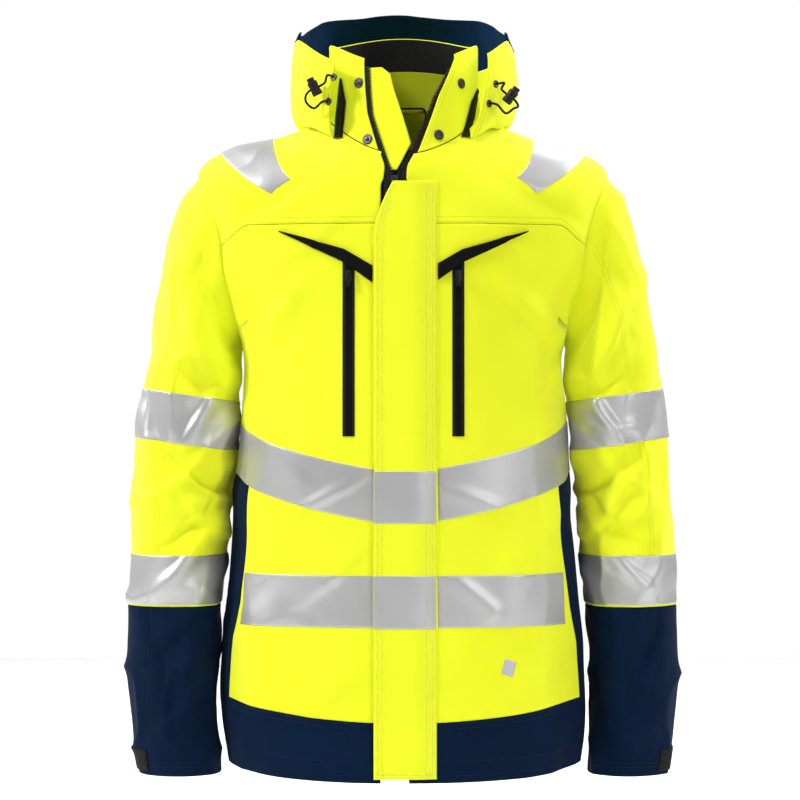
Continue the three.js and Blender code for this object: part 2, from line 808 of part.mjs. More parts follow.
const flapTopRight = [FLAP_RIGHT, ZIP_TOP_Z - 3];
const flapTopLeft = [ZIP_X - 2, ZIP_TOP_Z - 3];
const flapBottom = HEM_Z + 6;
const flapMap = patch(
  (s) => [mix(FLAP_LEFT, FLAP_RIGHT, s), flapBottom],
  line(flapTopLeft, flapTopRight),
  chain([
    [0.8, line([FLAP_LEFT, flapBottom], [FLAP_LEFT, FLAP_CORNER_Z])],
    [
      1,
      (t) => [
        mix(FLAP_LEFT, flapTopLeft[0], t ** 1.6),
        mix(FLAP_CORNER_Z, flapTopLeft[1], t),
      ],
    ],
  ]),
  chain([
    [0.8, line([FLAP_RIGHT, flapBottom], [FLAP_RIGHT, FLAP_CORNER_Z])],
    [1, line([FLAP_RIGHT, FLAP_CORNER_Z], flapTopRight)],
  ]),
);
const flapLift = (s) => mix(FLAP_LIFT, CLOTH + LAYER_GAP, smooth((s - 0.7) / 0.3));
add(
  "storm_flap",
  sheet(
    body,
    (s, t) => frontAt(...flapMap(s, t)),
    [0, 0.25, 0.5, 0.7, 0.85, 1],
    [...stops(10).map((t) => t * 0.8), 0.85, 0.9, 0.95, 1],
    flapLift,
    (s) => flapLift(s) + FLAP_CLOTH,
  ),
  YELLOW(),
);

const WIND_FLAP_EDGE = [
  [-58, -8],
  [-26, 9],
  [7, -1],
  [39, -12],
  [56, -16],
  [COLLAR_FRONT_Z - 2, -26],
];
const WIND_FLAP_HIGH = ZIP_LOW - LAYER_GAP;
add(
  "inner_wind_flap",
  sheet(
    body,
    (s, t) => {
      const z = mix(WIND_FLAP_EDGE[0][0], COLLAR_FRONT_Z - 2, t);
      return frontAt(mix(openingEdge(-1, z) - 3, between(WIND_FLAP_EDGE, z), s), z);
    },
    stops(3),
    stops(9),
    WIND_FLAP_HIGH - CLOTH,
    WIND_FLAP_HIGH,
  ),
  YELLOW(),
);

// ---------- Lining ----------

// Hangs inside the shell from the neck seam to the hem, open at the front and at both armholes
const LINING_DEPTH = 6;
const LINING_COLUMNS = 28;
const liningFirst = 20 * DEG;
const liningStep = (2 * Math.PI - 2 * liningFirst) / LINING_COLUMNS;
const liningPhis = stops(LINING_COLUMNS).map((s) => liningFirst + s * LINING_COLUMNS * liningStep);
const liningRows = [0.25, 1.1, 2, 3, 4, 5, 5.6, 6.3, 7, 7.7, 8.6, 9.7, 10.8, 11.8];
const insideArmhole = (phi, v) => {
  const fromSide = Math.min(Math.abs(phi - SIDE), Math.abs(phi - 3 * SIDE));
  return (
    v > ARMHOLE_ROWS[0] - 0.2 &&
    v < ARMHOLE_ROWS[1] + 0.6 &&
    fromSide < armholeSpread(mix(v, armholeMiddle, 0.25)) + liningStep / 2
  );
};
const liningEdge = (side, v) => {
  const z = body.point(0.05, v).z;
  const away = ZIP_TAPE_WIDTH + 0.4;
  return Math.abs(phiAtX(frontEdge(side, Math.max(z, HEM_Z), away), v));
};
add(
  "body_lining",
  sheet(
    body,
    (s, t) => {
      const v = liningRows[Math.round(t * (liningRows.length - 1))];
      const i = Math.round(s * (liningPhis.length - 1));
      if (i === 0) return [liningEdge(1, v), v];
      if (i === liningPhis.length - 1) return [2 * Math.PI - liningEdge(-1, v), v];
      return [liningPhis[i], v];
    },
    stops(liningPhis.length - 1),
    stops(liningRows.length - 1),
    -LINING_DEPTH,
    -LINING_DEPTH + 0.9,
    {
      keep: (i, j) =>
        !insideArmhole(
          (liningPhis[i] + liningPhis[i + 1]) / 2,
          (liningRows[j] + liningRows[j + 1]) / 2,
        ),
    },
  ),
  DARK_MESH(),
);

// ---------- Reflective tapes on the body ----------

const TAPE_LOW = CLOTH + LAYER_GAP;
const tapeOn = (name, map, columns, rows, low = TAPE_LOW, side = 1) =>
  add(name, sheet(body, map, columns, rows, low, low + TRIM, { side }), SILVER_TAPE());

// Each tape is laid over the flap's seam on one front and ends beside the flap on the other
const tapeStart = (side) => (side > 0 ? FLAP_RIGHT + 2 : -FLAP_LEFT - 6);
const chestTapeZ = (phi) => {
  const turn = Math.min(phi, 2 * Math.PI - phi);
  return CHEST_TAPE_Z + CHEST_TAPE_SIDE_RISE * Math.min(1, turn / SIDE);
};
const chestStart = phiAtX(tapeStart(1), 3.3);
const chestEnd = 2 * Math.PI - phiAtX(tapeStart(-1), 3.3);
tapeOn(
  "chest_tape",
  (s, t) => {
    const phi = mix(chestStart, chestEnd, s);
    return sideAt(phi, chestTapeZ(phi) - TAPE_WIDTH * (1 - t));
  },
  stops(34),
  stops(1),
  TAPE_LOW + FACET_ROOM,
);

const waistTape = (name, from, to, columns) =>
  tapeOn(
    name,
    (s, t) => sideAt(mix(from, to, s), WAIST_TAPE_Z - TAPE_WIDTH * (1 - t)),
    stops(columns),
    stops(1),
    TAPE_LOW + FLAT_ROOM,
  );
const waistStart = (side) => phiAtX(tapeStart(side), 2.1);
const waistEnd = phiAtX(stripEdgeX(WAIST_TAPE_Z) - 2, 2.1);
waistTape("waist_tape_front_left", waistStart(1), waistEnd, 9);
waistTape("waist_tape_front_right", 2 * Math.PI - waistEnd, 2 * Math.PI - waistStart(-1), 9);
waistTape("waist_tape_back", backPhi + 0.01, 2 * Math.PI - backPhi - 0.01, 16);

// Shoulder tapes run over each shoulder from front to back; rows are neck side, then sleeve side
const SHOULDER_TAPE_DEG = [38, 142];
const SHOULDER_TAPE_END_ROWS = [9, 8.15];
const SHOULDER_TAPE_TOP_ROWS = [10.15, 8.75];
[1, -1].forEach((side) =>
  tapeOn(
    "shoulder_tape_" + (side > 0 ? "left" : "right"),
    (s, t) => [
      mix(SHOULDER_TAPE_DEG[0], SHOULDER_TAPE_DEG[1], t) * DEG,
      mix(
        mix(...SHOULDER_TAPE_END_ROWS, s),
        mix(...SHOULDER_TAPE_TOP_ROWS, s),
        Math.sin(t * Math.PI),
      ),
    ],
    stops(3),
    stops(9),
    TAPE_LOW + FACET_ROOM,
    side,
  ),
);

// ---------- Chest pockets ----------

const pocketLow = CLOTH + LAYER_GAP - FLAT_ROOM / 2;

// Upper edge of the welt, from beside the flap out to its tip
const WELT_TIP_X = 144;
const WELT_UPPER = [
  [-FLAP_LEFT, -170],
  [68, -150],
  [105, -139],
  [WELT_TIP_X, -128],
];
const weltWidth = (x) =>
  mix(WELT_WIDTH, 1, ((x + FLAP_LEFT) / (WELT_TIP_X + 1 + FLAP_LEFT)) ** 1.2);
const sliderTopZ = POCKET_TOP_Z - POCKET_SLIDER_DROP;
const pocketSliderLift = pocketLow + TRIM + 0.4;
[1, -1].forEach((side) => {
  const hand = side > 0 ? "left" : "right";
  add(
    "pocket_zip_" + hand,
    sheet(
      body,
      (s, t) =>
        frontAt(
          mix(POCKET_X - POCKET_STRIP / 2, POCKET_X + POCKET_STRIP / 2, s),
          POCKET_TOP_Z - POCKET_LENGTH * (1 - t),
        ),
      stops(1),
      stops(8),
      pocketLow,
      pocketLow + TRIM,
      { side },
    ),
    ZIP_BLACK(),
  );

  // Welt: a bent dart-shaped flap whose tip points outwards and up
  const weltStart = (side > 0 ? FLAP_RIGHT : -FLAP_LEFT) + 1.5;
  add(
    "pocket_welt_" + hand,
    sheet(
      body,
      (s, t) => {
        const x = mix(weltStart, WELT_TIP_X, s);
        return frontAt(x, between(WELT_UPPER, x) - weltWidth(x) * (1 - t));
      },
      stops(7),
      stops(1),
      pocketLow + TRIM + LAYER_GAP,
      pocketLow + TRIM + LAYER_GAP + CLOTH,
      { side },
    ),
    BLACK_CLOTH(),
  );

  const [width, length, thick] = POCKET_SLIDER;
  const [phi, v] = frontAt(POCKET_X, sliderTopZ - length / 2);
  const bodyOfSlider = solidOf(box(width, length, thick, 0, 0, thick / 2));
  seat(
    add("pocket_slider_" + hand, geometryOf(bodyOfSlider), BLACK_PLASTIC()),
    body,
    phi,
    v,
    pocketSliderLift,
    side,
  );
  const [pullAngle, pullV] = frontAt(POCKET_X, sliderTopZ - PULL_DROP);
  seat(
    add("pocket_pull_" + hand, pullOf(), BLACK_PLASTIC()),
    body,
    pullAngle,
    pullV,
    pocketSliderLift + thick + 0.4,
    side,
  );
});

// ---------- Collar snaps ----------

const studProfile = [
  [0, 0],
  [SNAP_RADIUS, 0],
  [SNAP_RADIUS, 0.8],
  [SNAP_RADIUS - 1, 1.4],
  [2.4, 1.4],
  [2.2, 3.2],
  [1.4, 3.8],
  [0, 3.8],
];
const socketProfile = [
  [0, 0],
  [SNAP_RADIUS, 0],
  [SNAP_RADIUS, 1],
  [SNAP_RADIUS - 1, 2.2],
  [3.2, 2.2],
  [2.8, 0.8],
  [0, 0.8],
];
const upright = (geometry) => geometry.rotateX(Math.PI / 2);
const snap = (name, profile, x, z) => {
  const [phi, v] = frontAt(x, z);
  seat(add(name, upright(turned(profile, 16)), GUNMETAL()), body, phi, v, CLOTH + 0.8);
};
snap("collar_snap_stud_upper", studProfile, -51, 46);
snap("collar_snap_stud_lower", studProfile, -41, -22);
snap("collar_snap_socket_upper", socketProfile, 66, 47);
snap("collar_snap_socket_lower", socketProfile, 40, -17);

// ---------- Sleeves ----------

// Each ring has an outer and an inner point; ring 0 is the armhole itself
const bodyHalfAt = (z) => {
  const [, v] = sideAt(SIDE, z);
  return body.half(v);
};
const innerX = (z) => bodyHalfAt(Math.min(z, ARMPIT_Z)) + SLEEVE_CLEARANCE + CLOTH;
const sleeveRing = (outerX, outerZ, innerZ, depth, middle) => ({
  outer: [outerX, outerZ],
  inner: [innerX(innerZ), innerZ],
  depth,
  middle,
});
const outerOf = (z, width) => innerX(z) + width;
const FOREARM_Z = mix(FOREARM_SEAM_Z, CUFF_Z, 0.5);
const sleeveRings = [
  sleeveRing(SHOULDER_HALF + 27, -93, -262, 71, 2),
  sleeveRing(SHOULDER_HALF + 45, -165, -275, 76, 2),
  sleeveRing(SHOULDER_HALF + 61, -255, -306, 74, 0),
  sleeveRing(outerOf(-350, UPPER_ARM_WIDTH), -350, -364, 70, -2),
  sleeveRing(outerOf(-455, ELBOW_WIDTH), -452, -458, 66, -5),
  sleeveRing(outerOf(FOREARM_SEAM_Z, ELBOW_WIDTH - 4), FOREARM_SEAM_Z, FOREARM_SEAM_Z, 61, -11),
  sleeveRing(outerOf(FOREARM_Z, mix(ELBOW_WIDTH, CUFF_WIDTH, 0.6)), FOREARM_Z, FOREARM_Z, 56, -18),
  sleeveRing(outerOf(CUFF_Z, CUFF_WIDTH), CUFF_Z, CUFF_Z, 48, -24),
];
const armholeRing = (s) => {
  const turn = 2 * Math.PI * s;
  const spread = (ARMHOLE_SPREAD_DEG - 1) * DEG;
  const p = body.point(
    SIDE - spread * Math.sin(turn),
    armholeMiddle + (armholeHalf - 0.04) * Math.cos(turn),
  );
  return [p.x + ARMHOLE_GAP, p.y, p.z];
};
const ringAt = ({ outer, inner, depth, middle }, s) => {
  const turn = 2 * Math.PI * s;
  const share = (1 + Math.cos(turn)) / 2;
  return [mix(inner[0], outer[0], share), middle - depth * Math.sin(turn), mix(inner[1], outer[1], share)];
};
const sleeve = surface((s, u) => {
  const rings = [armholeRing(s), ...sleeveRings.map((each) => ringAt(each, s))];
  return new THREE.Vector3(...[0, 1, 2].map((k) => through(rings.map((p) => p[k]), u)));
});
const SLEEVE_LAST = sleeveRings.length;

// Ring coordinate where the sleeve's side at s reaches height z
function sleeveRow(s, z) {
  let low = 0;
  let high = SLEEVE_LAST;
  for (let i = 0; i < 40; i++) {
    const u = (low + high) / 2;
    if (sleeve.point(s, u).z > z) low = u;
    else high = u;
  }
  return (low + high) / 2;
}
const SLEEVE_SIDES = 16;
const aroundSleeve = stops(SLEEVE_SIDES).slice(0, -1);
const seamRow = sleeveRow(0, FOREARM_SEAM_Z);
const sleeveSheet = (name, from, to, rows, low, high, material, side) =>
  add(
    name,
    sheet(sleeve, (s, t) => [s, mix(from(s), to(s), t)], aroundSleeve, stops(rows), low, high, {
      wrap: true,
      side,
    }),
    material,
  );
[1, -1].forEach((side) => {
  const hand = side > 0 ? "left" : "right";
  sleeveSheet("sleeve_" + hand, () => 0.02, () => seamRow, 11, 0, CLOTH, YELLOW(), side);
  sleeveSheet("forearm_" + hand, () => seamRow + 0.008, () => SLEEVE_LAST, 3, 0, CLOTH, NAVY(), side);
  const tape = (name, z, slope, low) => {
    const dip = (s) => (slope * (1 - Math.cos(2 * Math.PI * s))) / 2;
    sleeveSheet(
      name,
      (s) => sleeveRow(s, z - dip(s)),
      (s) => sleeveRow(s, z - SLEEVE_TAPE_WIDTH - dip(s)),
      1,
      low,
      low + TRIM,
      SILVER_TAPE(),
      side,
    );
  };
  tape("sleeve_tape_upper_" + hand, UPPER_TAPE_Z, UPPER_TAPE_SLOPE, TAPE_LOW + 2 * FLAT_ROOM);
  tape("sleeve_tape_lower_" + hand, LOWER_TAPE_Z, 0, TAPE_LOW);

  // Cuff tab: sewn behind, fastened towards the front on the outer side of the cuff
  const tabBottom = CUFF_Z + 5;
  add(
    "cuff_tab_" + hand,
    sheet(
      sleeve,
      (s, t) => {
        const around = mix(-0.1, 0.13, s);
        return [around, sleeveRow(around, mix(tabBottom, tabBottom + TAB_HEIGHT, t))];
      },
      stops(5),
      stops(1),
      TAPE_LOW,
      TAPE_LOW + CLOTH,
      { side },
    ),
    BLACK_CLOTH(),
  );
});

// ---------- Hood ----------

const hoodRows = [
  ring(NECK_HALF + 7, 124, NECK_BACK + 7, -50, 24, 34, 2),
  ring(HOOD_HALF - 11, 125, 150, -36, 8, -20, 2),
  ring(HOOD_HALF - 2, 126, HOOD_BACK - 17, -6, 24, -8, 2.1),
  ring(HOOD_HALF, 124, HOOD_BACK, 22, 56, 50, 2.1),
  ring(HOOD_HALF - 2, 120, HOOD_BACK - 17, 44, 86, 112, 2.1),
  ring(HOOD_HALF - 10, 114, HOOD_BACK - 62, 62, 108, HOOD_RIM_Z, 2.1),
];
const hood = ringSurface(hoodRows);

// Front edges of the hood; the wearer's left one is turned further open at the top
const HOOD_EDGE_LEFT_DEG = [50, 40, 41, 44, 48, 51];
const HOOD_EDGE_RIGHT_DEG = [57, 44, 40, 38, 37, 36];
const hoodEdge = (side, v) => through(side > 0 ? HOOD_EDGE_LEFT_DEG : HOOD_EDGE_RIGHT_DEG, v) * DEG;
const hoodTurn = (phi) => Math.abs(phi - Math.PI);
const CROWN_FROM_DEG = 74;
const crownRow = (phi) => {
  const reach = (180 - CROWN_FROM_DEG) * DEG;
  return 5 - 1.45 * Math.cos((Math.min(1, hoodTurn(phi) / reach) * Math.PI) / 2) ** 0.8;
};
const hoodTop = (phi) => (hoodTurn(phi) < (180 - CROWN_FROM_DEG) * DEG ? crownRow(phi) - 0.02 : 5);
add(
  "hood_shell",
  sheet(
    hood,
    (s, t) => {
      const rough = mix(50 * DEG, 310 * DEG, s);
      const v = t * hoodTop(rough);
      const phi = mix(hoodEdge(1, v), 2 * Math.PI - hoodEdge(-1, v), s);
      return [phi, t * hoodTop(phi)];
    },
    stops(26),
    stops(7),
    0,
    CLOTH,
  ),
  YELLOW(),
);
add(
  "hood_crown",
  sheet(
    hood,
    (s, t) => {
      const phi = mix((CROWN_FROM_DEG + 4) * DEG, (356 - CROWN_FROM_DEG) * DEG, s);
      return [phi, mix(crownRow(phi), 5, t)];
    },
    stops(20),
    stops(2),
    0,
    CLOTH,
  ),
  NAVY(),
);

// Black ends of the zip that joins the hood to the collar, one beside each front edge of the hood
const HOOD_ZIP_EDGES = {
  left: [
    [
      [-19, 66],
      [28, 78],
      [46, 86],
    ],
    [
      [-19, 77],
      [46, 87.5],
    ],
  ],
  right: [
    [
      [-19, 70],
      [25, 66],
      [54, 71],
    ],
    [
      [-19, 81],
      [54, 72.5],
    ],
  ],
};
[1, -1].forEach((side) => {
  const hand = side > 0 ? "left" : "right";
  const [inner, outer] = HOOD_ZIP_EDGES[hand];
  const [bottom, top] = [inner[0][0], inner.at(-1)[0]];
  add(
    "hood_zip_" + hand,
    sheet(
      body,
      (s, t) => {
        const z = mix(bottom, top, t);
        return frontAt(mix(between(inner, z), between(outer, z), s), z);
      },
      stops(1),
      stops(6),
      CLOTH + FACET_ROOM + LAYER_GAP,
      CLOTH + FACET_ROOM + LAYER_GAP + 1,
      { side },
    ),
    ZIP_BLACK(),
  );
});

// ---------- Drawcord, cord lock and eyelets on each side of the hood ----------

const hoodFrontAt = (x, z) => {
  let low = 0;
  let high = 5;
  const phiOf = (v) => Math.asin((x / hood.half(v)) ** (hood.square(v) / 2));
  for (let i = 0; i < 40; i++) {
    const v = (low + high) / 2;
    if (hood.point(phiOf(v), v).z < z) low = v;
    else high = v;
  }
  return [phiOf(low), low];
};
const eyeletProfile = [
  [CORD_DIAMETER / 2 + CORD_CLEARANCE, 0],
  [EYELET_RADIUS, 0],
  [EYELET_RADIUS, 0.5],
  [EYELET_RADIUS - 0.9, 1.1],
  [CORD_DIAMETER / 2 + CORD_CLEARANCE, 0.6],
  [CORD_DIAMETER / 2 + CORD_CLEARANCE, 0],
];
const DRAWCORDS = {
  left: {
    eyelets: [
      [107, 46],
      [99, 22],
    ],
    lock: [125, -78, 31],
    axis: [0.62, -0.1, 0.78],
    across: [0.78, 0, -0.62],
    loop: [
      [129, -80, 17],
      [120, -84, 11],
    ],
  },
  right: {
    eyelets: [
      [80, 51],
      [86, 23],
    ],
    lock: [103, -101, 38],
    axis: [0.45, -0.1, 0.88],
    across: [0.88, 0, -0.45],
    loop: [
      [113, -101, 22],
      [104, -101, 15],
    ],
  },
};
[1, -1].forEach((side) => {
  const hand = side > 0 ? "left" : "right";
  const drawcord = DRAWCORDS[hand];
  const lockCentre = new THREE.Vector3(...drawcord.lock);
  const lockAxis = new THREE.Vector3(...drawcord.axis).normalize();
  const cordAcross = new THREE.Vector3(...drawcord.across).normalize();
  const ends = drawcord.eyelets.map(([x, z], i) => {
    const [phi, v] = hoodFrontAt(x, z);
    seat(
      add(
        "hood_eyelet_" + ["upper_", "lower_"][i] + hand,
        upright(turned(eyeletProfile, 14)),
        GUNMETAL(),
      ),
      hood,
      phi,
      v,
      CLOTH + 0.4,
      side,
    );
    return { p: hood.point(phi, v), n: hood.normal(phi, v) };
  });
  const out = ({ p, n }, lift) => p.clone().addScaledVector(n, CLOTH + lift);
  const beside = (along) => lockCentre.clone().addScaledVector(cordAcross, along);
  const route = [
    out(ends[0], 0.6),
    out(ends[0], 5),
    out(ends[0], 9).add(new THREE.Vector3(3, 0, 0)),
    beside(-13).add(new THREE.Vector3(0, 0, 1)),
    beside(-8),
    beside(0),
    beside(8),
    beside(13).add(new THREE.Vector3(-1, 0, -3)),
    ...drawcord.loop.map((p) => new THREE.Vector3(...p)),
    out(ends[1], 9).add(new THREE.Vector3(3, 0, -2)),
    out(ends[1], 5),
    out(ends[1], 0.6),
  ];
  const curve = new THREE.CatmullRomCurve3(
    route.map((p) => new THREE.Vector3(p.x * side, p.y, p.z)),
    false,
    "centripetal",
  );
  const section = new THREE.Shape();
  section.absarc(0, 0, CORD_DIAMETER / 2, 0, 2 * Math.PI, false);
  add(
    "hood_cord_" + hand,
    new THREE.ExtrudeGeometry(section, {
      steps: 34,
      curveSegments: 4,
      extrudePath: curve,
      bevelEnabled: false,
    }),
    BLACK_PLASTIC(),
  );

  // Lock: a turned barrel with a cross hole for the cord and a sprung button in its top
  const half = LOCK_LENGTH / 2;
  const wellRadius = LOCK_BUTTON_RADIUS + 0.4;
  const wellDepth = LOCK_BUTTON_TRAVEL + 1;
  const barrel = upright(
    turned(
      [
        [0, -half],
        [LOCK_RADIUS - 1.2, -half],
        [LOCK_RADIUS, -half + 1.4],
        [LOCK_RADIUS, half - 1],
        [LOCK_RADIUS - 0.6, half],
        [wellRadius, half],
        [wellRadius, half - wellDepth],
        [0, half - wellDepth],
      ],
      16,
    ),
  );
  const hole = new THREE.CylinderGeometry(
    CORD_DIAMETER / 2 + CORD_CLEARANCE,
    CORD_DIAMETER / 2 + CORD_CLEARANCE,
    LOCK_RADIUS * 4,
    12,
  ).rotateZ(Math.PI / 2);
  const frameOf = (mesh) => {
    const up = lockAxis.clone();
    const across = cordAcross.clone();
    up.x *= side;
    across.x *= side;
    up.addScaledVector(across, -up.dot(across)).normalize();
    mesh.matrixAutoUpdate = false;
    mesh.matrix
      .makeBasis(across, up.clone().cross(across), up)
      .setPosition(lockCentre.x * side, lockCentre.y, lockCentre.z);
  };
  frameOf(
    add("cord_lock_" + hand, geometryOf(solidOf(barrel).subtract(solidOf(hole))), BLACK_PLASTIC()),
  );
  const buttonBase = half - 0.6;
  frameOf(
    add(
      "cord_lock_button_" + hand,
      upright(
        turned(
          [
            [0, buttonBase],
            [LOCK_BUTTON_RADIUS, buttonBase],
            [LOCK_BUTTON_RADIUS, half + 4],
            [LOCK_BUTTON_RADIUS - 1, half + 5],
            [0, half + 5],
          ],
          14,
        ),
      ),
      BLACK_PLASTIC(),
    ),
  );
});

// ---------- Hanger loop ----------

const loopTop = 34;
const loopEnd = body.point(Math.PI - Math.asin(LOOP_SPAN / 2 / NECK_HALF), NECK_ROW + 0.6);
const loopY = loopEnd.y - LAYER_GAP - CLOTH - 0.7;
const loopShape = new THREE.Shape();
const loopHalf = LOOP_SPAN / 2;
loopShape.moveTo(-loopHalf, loopTop - LOOP_DROP);
loopShape.lineTo(-loopHalf, loopTop);
loopShape.lineTo(loopHalf, loopTop);
loopShape.lineTo(loopHalf, loopTop - LOOP_DROP);
loopShape.lineTo(loopHalf - LOOP_THICKNESS, loopTop - LOOP_DROP);
loopShape.lineTo(loopHalf - LOOP_THICKNESS, loopTop - LOOP_THICKNESS);
loopShape.lineTo(-loopHalf + LOOP_THICKNESS, loopTop - LOOP_THICKNESS);
loopShape.lineTo(-loopHalf + LOOP_THICKNESS, loopTop - LOOP_DROP);
const loopGeometry = new THREE.ExtrudeGeometry(loopShape, { depth: LOOP_WIDTH, bevelEnabled: false });
loopGeometry.rotateX(Math.PI / 2).translate(0, loopY, 0);
add("hanger_loop", loopGeometry, BLACK_CLOTH());

// The origin is where a hook bears: the middle of the underside of the loop's top run
const part = new THREE.Group();
jacket.position.set(0, -(loopY - LOOP_WIDTH / 2), -(loopTop - LOOP_THICKNESS));
part.add(jacket);

export default part;
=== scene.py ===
# Foul weather jacket: cloth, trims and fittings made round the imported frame.
# Metres, +Z up, front towards -Y, the wearer's left towards +X.
import math

import bpy
import numpy as np
from mathutils import Matrix, Vector


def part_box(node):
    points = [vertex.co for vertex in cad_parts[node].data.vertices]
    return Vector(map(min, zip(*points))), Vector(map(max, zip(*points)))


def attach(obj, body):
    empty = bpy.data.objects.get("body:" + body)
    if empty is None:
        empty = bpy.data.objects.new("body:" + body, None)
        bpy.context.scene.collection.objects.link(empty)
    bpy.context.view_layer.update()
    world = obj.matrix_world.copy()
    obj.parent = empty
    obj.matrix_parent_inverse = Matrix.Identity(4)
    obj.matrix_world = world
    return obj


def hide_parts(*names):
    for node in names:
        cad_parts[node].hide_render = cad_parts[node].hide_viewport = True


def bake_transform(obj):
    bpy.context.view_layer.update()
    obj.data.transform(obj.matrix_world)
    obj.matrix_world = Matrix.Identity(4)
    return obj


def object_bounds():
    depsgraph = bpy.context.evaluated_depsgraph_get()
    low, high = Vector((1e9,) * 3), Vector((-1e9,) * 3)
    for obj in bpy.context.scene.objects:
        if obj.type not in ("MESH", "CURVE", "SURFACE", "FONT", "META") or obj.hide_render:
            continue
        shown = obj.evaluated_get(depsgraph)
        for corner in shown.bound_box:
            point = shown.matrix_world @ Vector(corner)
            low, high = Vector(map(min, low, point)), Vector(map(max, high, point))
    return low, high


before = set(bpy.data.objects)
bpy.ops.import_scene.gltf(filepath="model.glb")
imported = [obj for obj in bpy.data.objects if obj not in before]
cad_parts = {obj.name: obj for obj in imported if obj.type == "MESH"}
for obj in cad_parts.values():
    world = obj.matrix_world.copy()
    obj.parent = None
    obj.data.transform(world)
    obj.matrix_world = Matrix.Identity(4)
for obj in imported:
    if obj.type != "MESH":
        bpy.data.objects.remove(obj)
CAD_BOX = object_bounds()

# ---- Camera, light and floor ----
# A long lens level with the chest, a pale floor under a white surround, and large soft lamps
# from both sides and above, as a garment is lit for a catalogue.
MM = 0.001
NECK = np.array((0.0, -0.068377, -0.032))  # side of the neck, where the pattern's heights start
CAMERA_AWAY = 3.2

camera_data = bpy.data.cameras.new("camera")
camera_data.lens = 120
camera_data.sensor_width = 36
camera = bpy.data.objects.new("camera", camera_data)
bpy.context.scene.collection.objects.link(camera)
camera.location = (-0.004, NECK[1] - CAMERA_AWAY, -0.356)
camera.rotation_euler = (math.radians(90), 0, 0)
bpy.context.scene.camera = camera


def lamp(name, place, aim, size, power):
    data = bpy.data.lights.new(name, "AREA")
    data.shape = "DISK"
    data.size = size
    data.energy = power
    lit = bpy.data.objects.new(name, data)
    bpy.context.scene.collection.objects.link(lit)
    lit.location = place
    lit.rotation_euler = (Vector(aim) - Vector(place)).to_track_quat("-Z", "Y").to_euler()


chest = (0, -0.1, -0.35)
lamp("key_lamp", (-2.5, -1.2, 1.7), chest, 0.6, 74)
lamp("fill_lamp", (1.8, -2.4, 0.5), chest, 1.4, 20)
lamp("top_lamp", (0.2, -0.9, 2.3), chest, 0.6, 28)
lamp("back_lamp", (0.5, 2.2, 1.7), chest, 1.2, 40)
for side in (-1, 1):
    lamp(f"paper_lamp_{side}", (side * 1.5, 0.5, 0.9), (side * 0.5, 1.5, -0.9), 1.2, 40)
world = bpy.data.worlds.new("studio")
bpy.context.scene.world = world
world.use_nodes = True
world.node_tree.nodes["Background"].inputs["Color"].default_value = (1, 1, 1, 1)
seen_directly = world.node_tree.nodes.new("ShaderNodeLightPath").outputs["Is Camera Ray"]
surround = world.node_tree.nodes.new("ShaderNodeMapRange")
surround.inputs["To Min"].default_value = 0.2  # what lights the jacket
surround.inputs["To Max"].default_value = 1.0  # what is seen behind it
world.node_tree.links.new(seen_directly, surround.inputs["Value"])
world.node_tree.links.new(surround.outputs[0], world.node_tree.nodes["Background"].inputs["Strength"])
bpy.context.scene.view_settings.view_transform = "Standard"

FLOOR_Z = CAD_BOX[0].z - 0.12
FLOOR_HALF = 2.6
floor_mesh = bpy.data.meshes.new("paper_floor")
corners = [(-1, -1), (1, -1), (1, 1), (-1, 1)]
floor_mesh.from_pydata([(x * FLOOR_HALF, y * FLOOR_HALF, FLOOR_Z) for x, y in corners], [], [(0, 1, 2, 3)])
floor = bpy.data.objects.new("paper_floor", floor_mesh)
bpy.context.scene.collection.objects.link(floor)
paper = bpy.data.materials.new("paper")
paper.use_nodes = True
paper.node_tree.nodes["Principled BSDF"].inputs["Base Color"].default_value = (0.9, 0.9, 0.9, 1)
paper.node_tree.nodes["Principled BSDF"].inputs["Roughness"].default_value = 0.9
floor_mesh.materials.append(paper)


